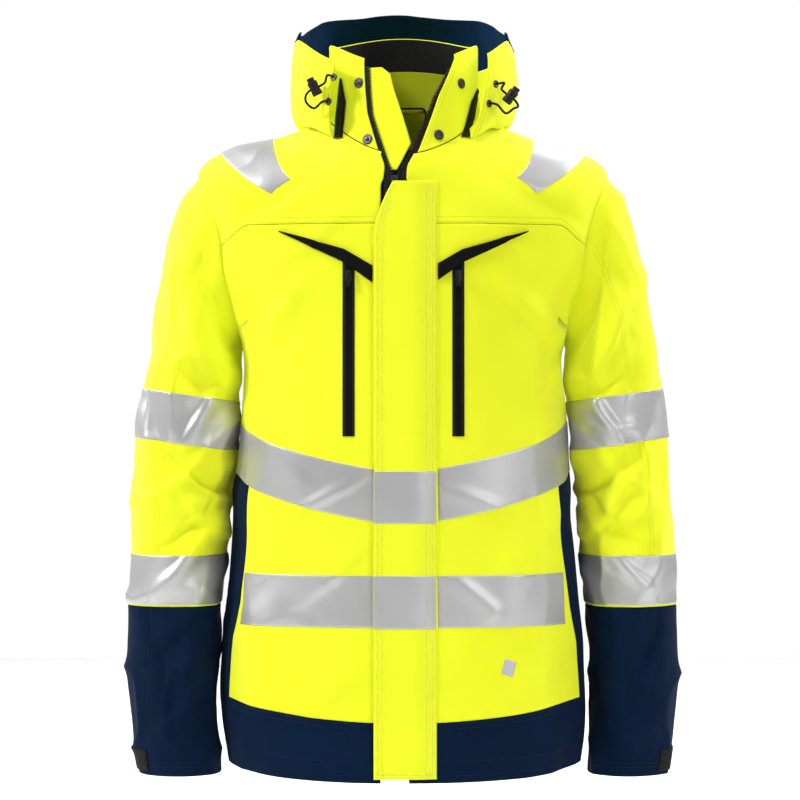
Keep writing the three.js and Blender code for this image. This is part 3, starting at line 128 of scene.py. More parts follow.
# ---- Cloths and finishes ----
# Coated polyester in two colours, brushed polyester, mesh, reflective film, zip tape, moulded
# plastic and dark plated metal. Weaves follow each piece's own UV map, which is in metres.
class Nodes:
    """The nodes of one material, added and joined by name."""

    def __init__(self, name):
        self.material = bpy.data.materials.new(name)
        self.material.use_nodes = True
        self.tree = self.material.node_tree
        self.shader = self.tree.nodes["Principled BSDF"]

    def add(self, kind, **inputs):
        node = self.tree.nodes.new(kind)
        for key, value in inputs.items():
            if hasattr(node, key) and not isinstance(value, bpy.types.NodeSocket):
                setattr(node, key, value)
            else:
                self.feed(node.inputs[key.replace("_", " ").title()], value)
        return node

    def feed(self, socket, value):
        if isinstance(value, bpy.types.NodeSocket):
            self.tree.links.new(value, socket)
        else:
            socket.default_value = value

    def maths(self, operation, a, b=0.0):
        node = self.tree.nodes.new("ShaderNodeMath")
        node.operation = operation
        self.feed(node.inputs[0], a)
        self.feed(node.inputs[1], b)
        return node.outputs[0]

    def noise(self, size, detail=2.0, stretch=(1, 1, 1)):
        """Cloudy variation with features of that size in metres, fixed to the object."""
        place = self.tree.nodes.new("ShaderNodeTexCoord").outputs["Object"]
        mapping = self.tree.nodes.new("ShaderNodeMapping")
        mapping.inputs["Scale"].default_value = stretch
        self.feed(mapping.inputs["Vector"], place)
        return self.add(
            "ShaderNodeTexNoise", vector=mapping.outputs[0], scale=1 / size, detail=detail
        ).outputs["Fac"]

    def uv(self):
        node = self.tree.nodes.new("ShaderNodeUVMap")
        node.uv_map = "cloth"
        split = self.tree.nodes.new("ShaderNodeSeparateXYZ")
        self.feed(split.inputs[0], node.outputs[0])
        return split.outputs[0], split.outputs[1]

    def ramp(self, value, low, high):
        """Value spread from 0 to 1 between low and high."""
        node = self.tree.nodes.new("ShaderNodeMapRange")
        self.feed(node.inputs["Value"], value)
        node.inputs["From Min"].default_value = low
        node.inputs["From Max"].default_value = high
        return node.outputs[0]

    def blend(self, share, a, b):
        node = self.tree.nodes.new("ShaderNodeMix")
        node.data_type = "RGBA"
        self.feed(node.inputs["Factor"], share)
        for socket, colour in zip((node.inputs[6], node.inputs[7]), (a, b)):
            self.feed(socket, colour if isinstance(colour, bpy.types.NodeSocket) else (*colour, 1))
        return node.outputs[2]

    def bump(self, height, distance, strength=1.0, under=None):
        node = self.tree.nodes.new("ShaderNodeBump")
        node.inputs["Strength"].default_value = strength
        node.inputs["Distance"].default_value = distance
        self.feed(node.inputs["Height"], height)
        if under is not None:
            self.feed(node.inputs["Normal"], under)
        return node.outputs[0]


def plain_weave(nodes, pitch):
    """Height of threads that cross over and under, 0 to 1, at that pitch in metres."""
    u, v = nodes.uv()
    turn = math.pi / pitch
    across = nodes.maths("SINE", nodes.maths("MULTIPLY", u, turn))
    along = nodes.maths("SINE", nodes.maths("MULTIPLY", v, turn))
    return nodes.ramp(nodes.maths("MULTIPLY", across, along), -1, 1)


def shell_cloth(name, lit, shaded, roughness, pitch, sheen, shine=0.3, painted_glow=0.0):
    """Woven shell cloth whose colour is painted between a lit and a shaded copy: painted shade in large
    random clouds and in the hollows of the weave; it puckers beside seams, and it may carry a painted glow.
    """
    nodes = Nodes(name)
    weave = plain_weave(nodes, pitch)
    painted_shade_cloud = nodes.ramp(nodes.noise(0.09, 3), 0.3, 0.7)
    fleck = nodes.noise(0.0016, 1)
    # painted light and shade: the colour goes from the shaded copy to the lit one with the clouds and with
    # the height of the threads
    painted_light_tone = nodes.blend(
        nodes.maths("ADD", nodes.maths("MULTIPLY", painted_shade_cloud, 0.6), nodes.maths("MULTIPLY", weave, 0.4)),
        shaded, lit
    )
    nodes.feed(nodes.shader.inputs["Base Color"], painted_light_tone)
    nodes.feed(nodes.shader.inputs["Roughness"], nodes.ramp(fleck, -2.2, 0.65 / roughness))
    near = nodes.add("ShaderNodeAttribute", attribute_name="seam").outputs["Fac"]
    pucker = nodes.maths("MULTIPLY", nodes.noise(0.007, 1, (1, 1, 0.6)), near)
    soft = nodes.bump(nodes.noise(0.028, 2), 0.0011, 0.35)
    soft = nodes.bump(pucker, 0.0016, 0.6, soft)
    nodes.feed(nodes.shader.inputs["Normal"], nodes.bump(weave, 0.00016, 0.5, soft))
    nodes.shader.inputs["Sheen Weight"].default_value = sheen
    nodes.shader.inputs["Specular IOR Level"].default_value = shine
    # a painted glow: the cloth emits its lit colour, though it is no lamp
    if painted_glow:
        nodes.shader.inputs["Emission Color"].default_value = (*lit, 1)
        nodes.shader.inputs["Emission Strength"].default_value = painted_glow
    return nodes.material


def reflective_film():
    """Silver glass-bead film, embossed with a fine lattice; its grey is painted lighter and darker in broad
    blotches as painted reflection and shade, and the blotches also vary its roughness.
    """
    nodes = Nodes("reflective_film")
    u, v = nodes.uv()
    turn = math.pi / 0.0022
    one = nodes.maths("SINE", nodes.maths("MULTIPLY", nodes.maths("ADD", u, v), turn))
    two = nodes.maths("SINE", nodes.maths("MULTIPLY", nodes.maths("SUBTRACT", u, v), turn))
    lattice = nodes.maths("MAXIMUM", one, two)
    painted_reflection_blotch = nodes.ramp(nodes.noise(0.11, 2), 0.2, 0.8)
    bead = nodes.noise(0.0007, 1)
    # the broad blotches are painted reflection and shade; the fine bead noise is the film's own grain
    bead_grain_and_painted_reflection = nodes.maths("ADD", nodes.maths("MULTIPLY", painted_reflection_blotch, 0.7), nodes.maths("MULTIPLY", bead, 0.3))
    nodes.feed(
        nodes.shader.inputs["Base Color"], nodes.blend(bead_grain_and_painted_reflection, (0.50, 0.50, 0.507), (0.62, 0.62, 0.627))
    )
    nodes.feed(nodes.shader.inputs["Roughness"], nodes.ramp(painted_reflection_blotch, -3.2, 5.2))
    nodes.shader.inputs["Metallic"].default_value = 0.6
    soft = nodes.bump(nodes.noise(0.02, 2), 0.0009, 0.5)
    nodes.feed(nodes.shader.inputs["Normal"], nodes.bump(lattice, 0.00006, 0.4, soft))
    return nodes.material


def ribbed_tape(name, dark, light, pitch):
    """Woven zip or webbing tape with fine ribs along its length."""
    nodes = Nodes(name)
    u, v = nodes.uv()
    rib = nodes.ramp(nodes.maths("SINE", nodes.maths("MULTIPLY", u, 2 * math.pi / pitch)), -1, 1)
    nodes.feed(nodes.shader.inputs["Base Color"], nodes.blend(rib, dark, light))
    nodes.shader.inputs["Roughness"].default_value = 0.7
    nodes.shader.inputs["Specular IOR Level"].default_value = 0.12
    fine = nodes.bump(nodes.noise(0.0012, 2), 0.0002, 0.5)
    nodes.feed(nodes.shader.inputs["Normal"], nodes.bump(rib, 0.0002, 0.7, fine))
    return nodes.material


def open_mesh():
    """Dark knitted lining mesh with rows of small eyes."""
    nodes = Nodes("lining_mesh")
    u, v = nodes.uv()
    turn = math.pi / 0.0028
    eyes = nodes.maths(
        "MULTIPLY", nodes.maths("SINE", nodes.maths("MULTIPLY", u, turn)),
        nodes.maths("SINE", nodes.maths("MULTIPLY", v, turn))
    )
    eye = nodes.ramp(nodes.maths("ABSOLUTE", eyes), 0.25, 0.85)
    nodes.feed(
        nodes.shader.inputs["Base Color"], nodes.blend(eye, (0.012, 0.02, 0.012), (0.002, 0.003, 0.002))
    )
    nodes.shader.inputs["Roughness"].default_value = 0.9
    nodes.feed(nodes.shader.inputs["Normal"], nodes.bump(eye, 0.0005, 0.8))
    return nodes.material


def brushed_cloth(name, dark, light, nap):
    """Short brushed nap, or the loops of hook-and-loop tape."""
    nodes = Nodes(name)
    fuzz = nodes.noise(nap, 3)
    nodes.feed(nodes.shader.inputs["Base Color"], nodes.blend(nodes.ramp(fuzz, 0.35, 0.65), dark, light))
    nodes.shader.inputs["Roughness"].default_value = 0.9
    nodes.shader.inputs["Sheen Weight"].default_value = 0.04
    nodes.shader.inputs["Specular IOR Level"].default_value = 0.1
    nodes.feed(nodes.shader.inputs["Normal"], nodes.bump(fuzz, nap * 0.5, 0.8))
    return nodes.material


def moulded(name, dark, light, roughness, grain, metallic=0.0):
    """Moulded or plated surface with a fine grain and slight handling marks."""
    nodes = Nodes(name)
    wear = nodes.ramp(nodes.noise(0.004, 4), 0.35, 0.75)
    nodes.feed(nodes.shader.inputs["Base Color"], nodes.blend(wear, dark, light))
    nodes.feed(nodes.shader.inputs["Roughness"], nodes.ramp(wear, -roughness / 0.3, (1 - roughness) / 0.3))
    nodes.shader.inputs["Metallic"].default_value = metallic
    nodes.shader.inputs["Specular IOR Level"].default_value = 0.3
    nodes.feed(nodes.shader.inputs["Normal"], nodes.bump(nodes.noise(grain, 2), grain * 0.2, 0.4))
    return nodes.material


# Each shell cloth gets a lit and a shaded copy of its colour, painted light and shade; the hi-vis yellow's
# last figure is a painted glow standing in for its fluorescent brightness.
YELLOW = shell_cloth(
    "hi_vis_yellow_cloth", (0.88, 0.94, 0.016), (0.83, 0.89, 0.01), 0.72, 0.0009, 0.12, 0.3, 0.04
)
# The inside facings use the yellow cloth darkened to about two fifths: painted shade for the shade inside the
# collar and neck.
YELLOW_PAINTED_SHADE = shell_cloth(
    "yellow_in_painted_shade", (0.36, 0.40, 0.004), (0.30, 0.34, 0.003), 0.8, 0.0009, 0.05, 0.2
)
NAVY_INSIDE = shell_cloth(
    "navy_inside", (0.0012, 0.019, 0.088), (0.001, 0.015, 0.068), 0.75, 0.0009, 0.01, 0.05
)
NAVY = shell_cloth("navy_cloth", (0.0006, 0.0115, 0.041), (0.0004, 0.0082, 0.03), 0.72, 0.0009, 0.015, 0.1)
BLACK = shell_cloth("black_cloth", (0.005, 0.005, 0.0055), (0.003, 0.003, 0.0035), 0.78, 0.0007, 0.01, 0.12)
BRUSHED = brushed_cloth("brushed_black", (0.003, 0.003, 0.003), (0.012, 0.012, 0.012), 0.0011)
HOOK = brushed_cloth("hook_tape", (0.003, 0.003, 0.003), (0.02, 0.02, 0.02), 0.0016)
FILM = reflective_film()
ZIP_TAPE = ribbed_tape("zip_tape", (0.006, 0.006, 0.0065), (0.022, 0.021, 0.022), 0.0016)
WEBBING = ribbed_tape("webbing", (0.004, 0.004, 0.004), (0.02, 0.02, 0.02), 0.0012)
MESH = open_mesh()
PLASTIC = moulded("black_acetal", (0.004, 0.004, 0.0045), (0.011, 0.011, 0.012), 0.38, 0.0006)
PLATED = moulded("gunmetal_plating", (0.045, 0.044, 0.05), (0.11, 0.108, 0.12), 0.3, 0.0005, 0.9)
THREAD_YELLOW = moulded("yellow_thread", (0.60, 0.66, 0.012), (0.74, 0.80, 0.02), 0.7, 0.0004)
THREAD_NAVY = moulded("navy_thread", (0.003, 0.013, 0.035), (0.006, 0.024, 0.055), 0.7, 0.0004)
THREAD_PALE = moulded("pale_thread", (0.52, 0.55, 0.22), (0.68, 0.72, 0.34), 0.7, 0.0004)
THREAD_BLACK = moulded("black_thread", (0.006, 0.006, 0.006), (0.02, 0.02, 0.02), 0.7, 0.0004)


# ---- The shape the shell hangs in ----
# The cloth follows rings round the trunk, from the hem (0) to the top of the collar (15).
# Folds lie on top: broad soft waves, drag lines from each armhole and drapes at the sides.
def through(stops, at):
    """Smooth value through evenly numbered stops, numbers or rows of numbers."""
    stops = np.asarray(stops, float)
    at = np.asarray(at, float)
    last = len(stops) - 1
    i = np.clip(np.floor(at).astype(int), 0, last - 1)
    t = at - i
    before, start, end, after = (stops[np.clip(i + k, 0, last)] for k in (-1, 0, 1, 2))
    if stops.ndim > 1:
        t = t[..., None]
    return 0.5 * (
        2 * start
        + (end - before) * t
        + (2 * before - 5 * start + 4 * end - after) * t * t
        + (3 * start - before - 3 * end + after) * t**3
    )


def mix(a, b, t):
    return a + (b - a) * t


def smooth(t):
    t = np.clip(t, 0, 1)
    return t * t * (3 - 2 * t)


def between(points, key):
    keys, values = zip(*points)
    return np.interp(key, keys, values)


def squared(value, square):
    """Signed power, which turns a circle into a squarer ring."""
    return np.sign(value) * np.abs(value) ** (2 / square)


def ring_shape(rows):
    """Point of a ring surface, in millimetres: phi 0 is the front, 90 degrees the wearer's left."""

    def point(phi, v):
        half, front, back, z_front, z_side, z_back, square = np.moveaxis(through(rows, v), -1, 0)
        s, c = np.sin(phi), np.cos(phi)
        return np.stack(
            (
                half * squared(s, square),
                -np.where(c > 0, front, back) * squared(c, square),
                z_side * s * s + np.where(c > 0, z_front, z_back) * c * c,
            ),
            -1,
        )

    return point


def noise(p, size, seed):
    """Smooth value noise from -1 to 1 with features of that size."""
    q = p / size + seed * 7.31
    i = np.floor(q).astype(np.int64)
    f = q - i
    f = f * f * f * (f * (6 * f - 15) + 10)
    total = 0
    for corner in range(8):
        d = np.array((corner & 1, corner >> 1 & 1, corner >> 2 & 1))
        n = ((i + d) * (73856093, 19349663, 83492791)).sum(-1) + seed * 9176
        n = (n ^ (n >> 13)) * 1274126177 & 0x7FFFFFFF
        n = (n ^ (n >> 11)) * 69069 & 0x7FFFFFFF
        weight = np.prod(np.where(d, f, 1 - f), -1)
        total = total + weight * (n / 0x3FFFFFFF - 1)
    return total


def bent(p):
    """Positions seen from the front, in x and z, wandering a little so that folds aren't straight."""
    return p[..., (0, 2)] + 9 * np.stack((noise(p, 55, 41), noise(p, 55, 43)), -1)


def crease(q, start, end, width, depth):
    """A fold along a line seen from the front, in x and z, fading towards both ends."""
    a, b = np.array(start, float), np.array(end, float)
    along = np.clip(((q - a) @ (b - a)) / ((b - a) @ (b - a)), 0, 1)
    away = np.linalg.norm(q - a - along[..., None] * (b - a), axis=-1)
    above = ((q - a) * (a[1] - b[1], b[0] - a[0])).sum(-1) > 0
    away = away / np.where(above, 0.6, 1.3)  # steeper on its upper side
    return depth * np.exp(-((away / width) ** 2)) * np.sin(np.pi * (0.12 + 0.76 * along))


def ridges(p, size, seed):
    """Sharp-backed wrinkles, 0 to 1, with broad hollows between them."""
    return np.maximum(0, 1 - 2.2 * np.abs(noise(p, size, seed))) ** 2


class Cloth:
    """A layer in the shape it hangs in, tabled finely so that every trim can be laid on it."""

    def __init__(self, shape, folds, a_range, b_range, size, wrap):
        self.a0, self.a1 = a_range
        self.b0, self.b1 = b_range
        self.wrap = wrap
        na, nb = size
        self.na, self.nb = na, nb
        a = np.linspace(self.a0, self.a1, na, endpoint=not wrap)
        b = np.linspace(self.b0, self.b1, nb)
        grid_a, grid_b = np.meshgrid(a, b)
        base = shape(grid_a, grid_b)
        out = self.normals(base)
        self.points = base + out * folds(grid_a, grid_b, base)[..., None]
        self.out = self.normals(self.points)

    def normals(self, grid):
        if self.wrap:
            across = np.roll(grid, -1, 1) - np.roll(grid, 1, 1)
        else:
            across = np.gradient(grid, axis=1)
        n = np.cross(across, np.gradient(grid, axis=0))
        return n / np.maximum(np.linalg.norm(n, axis=-1, keepdims=True), 1e-9)

    def look_up(self, table, a, b):
        x = (np.asarray(a, float) - self.a0) / (self.a1 - self.a0) * (self.na if self.wrap else self.na - 1)
        y = np.clip((np.asarray(b, float) - self.b0) / (self.b1 - self.b0) * (self.nb - 1), 0, self.nb - 1)
        i = np.floor(x).astype(int)
        j = np.minimum(np.floor(y).astype(int), self.nb - 2)
        fx, fy = (x - i)[..., None], (y - j)[..., None]

        def column(k):
            return np.mod(k, self.na) if self.wrap else np.clip(k, 0, self.na - 1)

        def weights(f):
            return (
                0.5 * (-f + 2 * f**2 - f**3),
                0.5 * (2 - 5 * f**2 + 3 * f**3),
                0.5 * (f + 4 * f**2 - 3 * f**3),
                0.5 * (f**3 - f**2),
            )

        total = 0
        for dy, wy in zip((-1, 0, 1, 2), weights(fy)):
            row = np.clip(j + dy, 0, self.nb - 1)
            for dx, wx in zip((-1, 0, 1, 2), weights(fx)):
                total = total + wx * wy * table[row, column(i + dx)]
        return total

    def at(self, ab, lift=0.0):
        """Frame points, in metres, on the cloth or that many millimetres off it."""
        ab = np.asarray(ab, float)
        p = self.look_up(self.points, ab[..., 0], ab[..., 1])
        n = self.facing(ab)
        return (p + n * np.asarray(lift)[..., None]) * MM + NECK

    def facing(self, ab):
        ab = np.asarray(ab, float)
        n = self.look_up(self.out, ab[..., 0], ab[..., 1])
        return n / np.linalg.norm(n, axis=-1, keepdims=True)

    def seat(self, ab, lift):
        """Matrix of a fitting on the cloth: +Z looks out of it and +Y runs up it."""
        n = Vector(self.facing(ab))
        right = Vector((0, 0, 1)).cross(n).normalized()
        place = Matrix((right, n.cross(right), n)).transposed().to_4x4()
        place.translation = Vector(self.at(ab, lift))
        return place


ZIP_TOP, HEM = -69, -765


def zip_depth(z):
    """Depth of the front, which hangs in one straight line beside the zip."""
    return 127 + (ZIP_TOP - z) * 13 / (ZIP_TOP - HEM)


# half width, front, back, height at the front, side and back, squareness
BODY_ROWS = [
    (208, zip_depth(HEM), 124, HEM, HEM + 12, HEM - 8, 2.6),
    (214, zip_depth(-684), 129, -684, -684, -684, 2.6),
    (207.6, zip_depth(-562), 131, -562, -562, -562, 2.6),
    (198, zip_depth(-440), 131, -440, -440, -440, 2.6),
    (191, zip_depth(-345), 131, -345, -345, -345, 2.6),
    (190, zip_depth(-250), 131, -250, -250, -250, 2.6),
    (217, zip_depth(-185), 129, -185, -165, -180, 2.5),
    (235, zip_depth(-140), 126, -140, -100, -130, 2.4),
    (239, zip_depth(-108), 120, -108, -55, -90, 2.3),
    (204.9, zip_depth(-88), 113, -88, -31, -60, 2.2),
    (160, zip_depth(-72), 104, -72, -13, -32, 2.1),
    (125, 126, 93, -56, 0, -5, 2),
    (94, 120, 80, -40, 12, 20, 2),
    (91, 114, 79, -18, 28, 38, 2),
    (89, 106, 79, 22, 62, 78, 2),
    (88, 100, 80, 66, 100, 120, 2),
]
NECK_ROW, COLLAR_ROW = 12, 15
body_shape = ring_shape(BODY_ROWS)

# Drag lines on the front, in x and z from the side of the neck: start, end, width, depth
FRONT_CREASES = [
    ((-186, -268), (-112, -180), 15, 5.5),
    ((-188, -262), (-140, -345), 13, -4),
    ((-194, -250), (-204, -140), 11, 5),
    ((188, -262), (116, -186), 15, 5.5),
    ((190, -250), (146, -345), 13, -4),
    ((196, -240), (206, -140), 11, 5),
    ((-170, -300), (-120, -420), 18, 3.5),
    ((166, -290), (140, -420), 18, 3.5),
    ((-190, -420), (-110, -520), 20, 4.5),
    ((-200, -560), (-120, -500), 16, -3.5),
    ((190, -430), (110, -560), 20, 4.5),
    ((200, -600), (110, -690), 20, 3.5),
    ((-190, -600), (-100, -690), 20, 4),
    ((-46, -414), (-130, -466), 9, 3),
    ((48, -424), (136, -458), 9, 2.6),
    ((-46, -500), (-124, -560), 11, 3),
    ((48, -516), (146, -600), 12, 3),
    ((-46, -640), (-118, -694), 10, 3),
    ((50, -600), (120, -660), 11, 2.6),
    ((-60, -110), (-150, -170), 12, 2.5),
    ((64, -104), (150, -166), 12, 2.5),
    ((-110, -66), (-196, -120), 12, -4.5),
    ((112, -64), (196, -116), 12, -4.5),
]


def body_folds(phi, v, p):
    x, y, z = np.moveaxis(p, -1, 0)
    fitted = smooth((np.abs(x) - 62) / 60) * smooth((12.2 - v) / 1.5)
    held = 0.3 + 0.7 * fitted
    low = smooth((-260 - z) / 260)
    fold = held * (4.2 * noise(p * (1, 1, 0.55), 120, 3) + 1.8 * noise(p * (1, 1, 0.7), 55, 5))
    side_pull = smooth((np.abs(x) - 100) / 70) * smooth((11 - v) / 1.5)
    fold = fold + (0.5 + 2.4 * side_pull) * fitted * ridges(p * (1, 1, 0.6), 80, 9)
    fold = fold + fitted * low * 2.6 * np.sin(9 * phi + 0.006 * z) * np.abs(np.sin(phi)) ** 2
    front = smooth(-y / 40)
    seen = bent(p)
    for start, end, width, depth in FRONT_CREASES:
        fold = fold + depth * front * crease(seen, start, end, width, 1.0)
        fold = fold + 0.8 * depth * (1 - front) * crease(seen * (-1, 1), start, end, width * 1.2, 1.0)
    collar = smooth((v - 12.3) / 1.2)
    return np.clip(fold, -7.5, 7) + collar * 1.4 * noise(p, 34, 8)


body = Cloth(body_shape, body_folds, (0, 2 * math.pi), (0, 15), (720, 420), True)


def row_at(z, phi_of):
    low = np.zeros(np.shape(z))
    high = np.full(np.shape(z), float(COLLAR_ROW))
    for _ in range(34):
        v = (low + high) / 2
        below = body_shape(phi_of(v), v)[..., 2] < z
        low, high = np.where(below, v, low), np.where(below, high, v)
    return (low + high) / 2


def phi_at_x(x, v):
    half, square = through(BODY_ROWS, v)[..., 0], through(BODY_ROWS, v)[..., 6]
    return np.sign(x) * np.arcsin(np.minimum(1, np.abs(x) / half) ** (square / 2))


def front_at(x, z):
    """Cloth coordinates of a point on the front, from x and the height."""
    x, z = np.broadcast_arrays(np.asarray(x, float), np.asarray(z, float))
    v = row_at(z, lambda row: phi_at_x(x, row))
    return np.stack((phi_at_x(x, v), v), -1)


def side_at(phi, z):
    phi, z = np.broadcast_arrays(np.asarray(phi, float), np.asarray(z, float))
    return np.stack((phi, row_at(z, lambda row: phi)), -1)


# ---- Shell panels ----
# Two fronts, two shoulder yokes, a back, two navy side strips that run on as the front hem bands,
# and a navy back hem band. Each is a cut panel whose edges turn down into its seams.
CLOTH_THICK = 1.2
SEAM_GAP = 0.5
HALF_TURN = math.pi


def link(mesh, name):
    made = bpy.data.objects.new(name, mesh)
    bpy.context.scene.collection.objects.link(made)
    return made


def grid_mesh(name, points, out, material, seam=None, wrap=False, hole=None):
    """A smooth surface through rows of points, with a UV map in metres along its rows and columns."""
    rows, columns = points.shape[:2]
    ids = np.arange(rows * columns).reshape(rows, columns)
    right = np.roll(ids, -1, 1) if wrap else ids[:, 1:]
    left = ids if wrap else ids[:, :-1]
    faces = np.stack((left[:-1], right[:-1], right[1:], left[1:]), -1).reshape(-1, 4)
    flat = points.reshape(-1, 3)
    normal = np.cross(flat[faces[:, 1]] - flat[faces[:, 0]], flat[faces[:, 3]] - flat[faces[:, 0]])
    if (normal * out.reshape(-1, 3)[faces[:, 0]]).sum() < 0:
        faces = faces[:, ::-1]
    if hole is not None:
        faces = faces[~hole.ravel()[faces].all(1)]
    used, faces = np.unique(faces, return_inverse=True)
    faces = faces.reshape(-1, 4)
    flat = flat[used]
    mesh = bpy.data.meshes.new(name)
    mesh.from_pydata(flat.tolist(), [], faces.tolist())
    steps_u = np.linalg.norm(np.diff(points, axis=1), axis=-1).mean(0)
    steps_v = np.linalg.norm(np.diff(points, axis=0), axis=-1).mean(1)
    u = np.concatenate(([0], np.cumsum(steps_u)))
    v = np.concatenate(([0], np.cumsum(steps_v)))
    grid_u, grid_v = np.meshgrid(u, v)
    layer = mesh.uv_layers.new(name="cloth")
    corner = np.empty(len(mesh.loops), np.int32)
    mesh.loops.foreach_get("vertex_index", corner)
    uv = np.stack((grid_u.ravel(), grid_v.ravel()), -1)[used][corner]
    layer.data.foreach_set("uv", uv.astype(np.float32).ravel())
    near = mesh.attributes.new("seam", "FLOAT", "POINT")
    near.data.foreach_set(
        "value", (np.zeros(len(flat)) if seam is None else seam.ravel()[used]).astype(np.float32)
    )
    mesh.materials.append(material)
    mesh.shade_smooth()
    return mesh


def thicken(piece, thick):
    wall = piece.modifiers.new("wall", "SOLIDIFY")
    wall.thickness = thick * MM
    wall.offset = -1
    wall.use_even_offset = False


def border_distance(points, wrap=False):
    """Distance in millimetres of every point of a grid from its nearest edge."""
    def from_ends(axis):
        steps = np.linalg.norm(np.diff(points, axis=axis), axis=-1) / MM
        pad = [(1, 0) if k == axis else (0, 0) for k in (0, 1)]
        run = np.cumsum(np.pad(steps, pad), axis=axis)
        total = run[-1:] if axis == 0 else run[:, -1:]
        return np.minimum(run, total - run)

    return from_ends(0) if wrap else np.minimum(from_ends(0), from_ends(1))


def even(count, edge=0.0):
    """Even stops from 0 to 1, with closer ones beside both ends where an edge share is given."""
    stops = np.linspace(0, 1, count + 1)
    if edge:
        close = np.array((0.35, 0.8, 1.6)) * edge
        stops = np.unique(np.concatenate((stops, close, 1 - close)))
    return stops


def laid(name, cloth, ab, lift, thick, material, body_name, nodes=(), roll=0.8, wrap=False):
    """A cut piece laid on a cloth: its outer face at that lift, its edges turned down by roll."""
    lift = np.broadcast_to(np.asarray(lift, float), ab.shape[:2]).copy()
    distance = border_distance(cloth.at(ab, lift), wrap)
    lift -= roll * (1 - smooth(distance / 2.4)) ** 2
    seam = np.exp(-((distance / 7) ** 2))
    points = cloth.at(ab, lift)
    piece = link(grid_mesh(name, points, cloth.facing(ab), material, seam, wrap), name)
    if thick:
        thicken(piece, thick)
    if nodes:
        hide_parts(*nodes)
    if body_name:
        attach(piece, body_name)
    return piece


def fitted_patch(s, t, bottom, top, left, right):
    """Coordinates inside four edges, given as functions: bottom and top run across, left and right run up."""
    low, high, first, last = bottom(s), top(s), left(t), right(t)
    s, t = s[None, :, None], t[:, None, None]
    return (
        mix(low[None], high[None], t)
        + mix(first[:, None], last[:, None], s)
        - mix(mix(low[0], low[-1], s), mix(high[0], high[-1], s), t)
    )


def chain(legs, count=160):
    """An edge made of legs: the share of its length at which each ends, and its points."""
    keys, points, start = [], [], 0.0
    for end, leg in legs:
        t = np.linspace(0, 1, count)
        keys.append(mix(start, end, t))
        points.append(leg(t))
        start = end
    keys, points = np.concatenate(keys), np.concatenate(points)
    return lambda t: np.stack([np.interp(t, keys, points[:, k]) for k in (0, 1)], -1)


OPENING_RIGHT = [(ZIP_TOP, -11.2), (-48, -20), (-15, -31), (7, -38), (28, -40), (66, -42)]
OPENING_LEFT = [(ZIP_TOP, -8.8), (-48, 4), (-27, 15), (7, 29), (28, 37), (66, 56)]


def opening_edge(side, z):
    return between(OPENING_LEFT if side > 0 else OPENING_RIGHT, z)


def panel_edge(side, z):
    return opening_edge(side, z) + side * (15 - 11.4 * smooth((z - ZIP_TOP + 10) / 30))


def band_top(x):
    return HEM + 69 + 22 * (np.abs(x) / 205) ** 2


HIP_Z, STRIP_TOP, SIDE = -684, -422, math.pi / 2
STRIP_BACK = math.radians(97)
SEAM_ANGLE = SEAM_GAP / 2 / 190
strip_top_phi = float(phi_at_x(179.0, 3.2))
ARMHOLE_ROWS = (5.15, 8.0)
armhole_middle, armhole_half = sum(ARMHOLE_ROWS) / 2, (ARMHOLE_ROWS[1] - ARMHOLE_ROWS[0]) / 2


def strip_edge_x(z):
    return mix(205, 179, smooth((z - HIP_Z) / (STRIP_TOP - HIP_Z)))


def strip_top(phi):
    return between([(strip_top_phi, STRIP_TOP), (SIDE, STRIP_TOP + 24), (STRIP_BACK, STRIP_TOP + 12)], phi)


def armhole(v, to_back):
    spread = math.radians(23) * np.sqrt(np.maximum(0, 1 - ((v - armhole_middle) / armhole_half) ** 2))
    return np.stack((SIDE + to_back * (SEAM_ANGLE + spread), v), -1)


def yoke_z(x):
    return -120 - 22 * smooth((x - 180) / 34)


def seam_points(phi, height_at, gap):
    """Points of a seam whose height depends on x, moved up or down by a gap."""
    points = side_at(phi, height_at(200 * np.sin(phi)) + gap)
    for _ in range(4):
        x = body_shape(points[..., 0], points[..., 1])[..., 0]
        points = side_at(phi, height_at(x) + gap)
    return points


YOKE_ROW = 7.03  # where the yoke seam meets the armhole
for _ in range(30):
    at_yoke = body_shape(armhole(np.array(YOKE_ROW), -1)[0], np.array(YOKE_ROW))[2]
    YOKE_ROW += (-142 - at_yoke) / 60


def outward(side, ab):
    """Coordinates given for the wearer's left, turned over for the right where side is -1."""
    return ab * (side, 1)


def on_side(side, x, z):
    return front_at(side * x, z) * (side, 1)


def seam_stops(t, breaks):
    return np.unique(np.concatenate((t, breaks)))


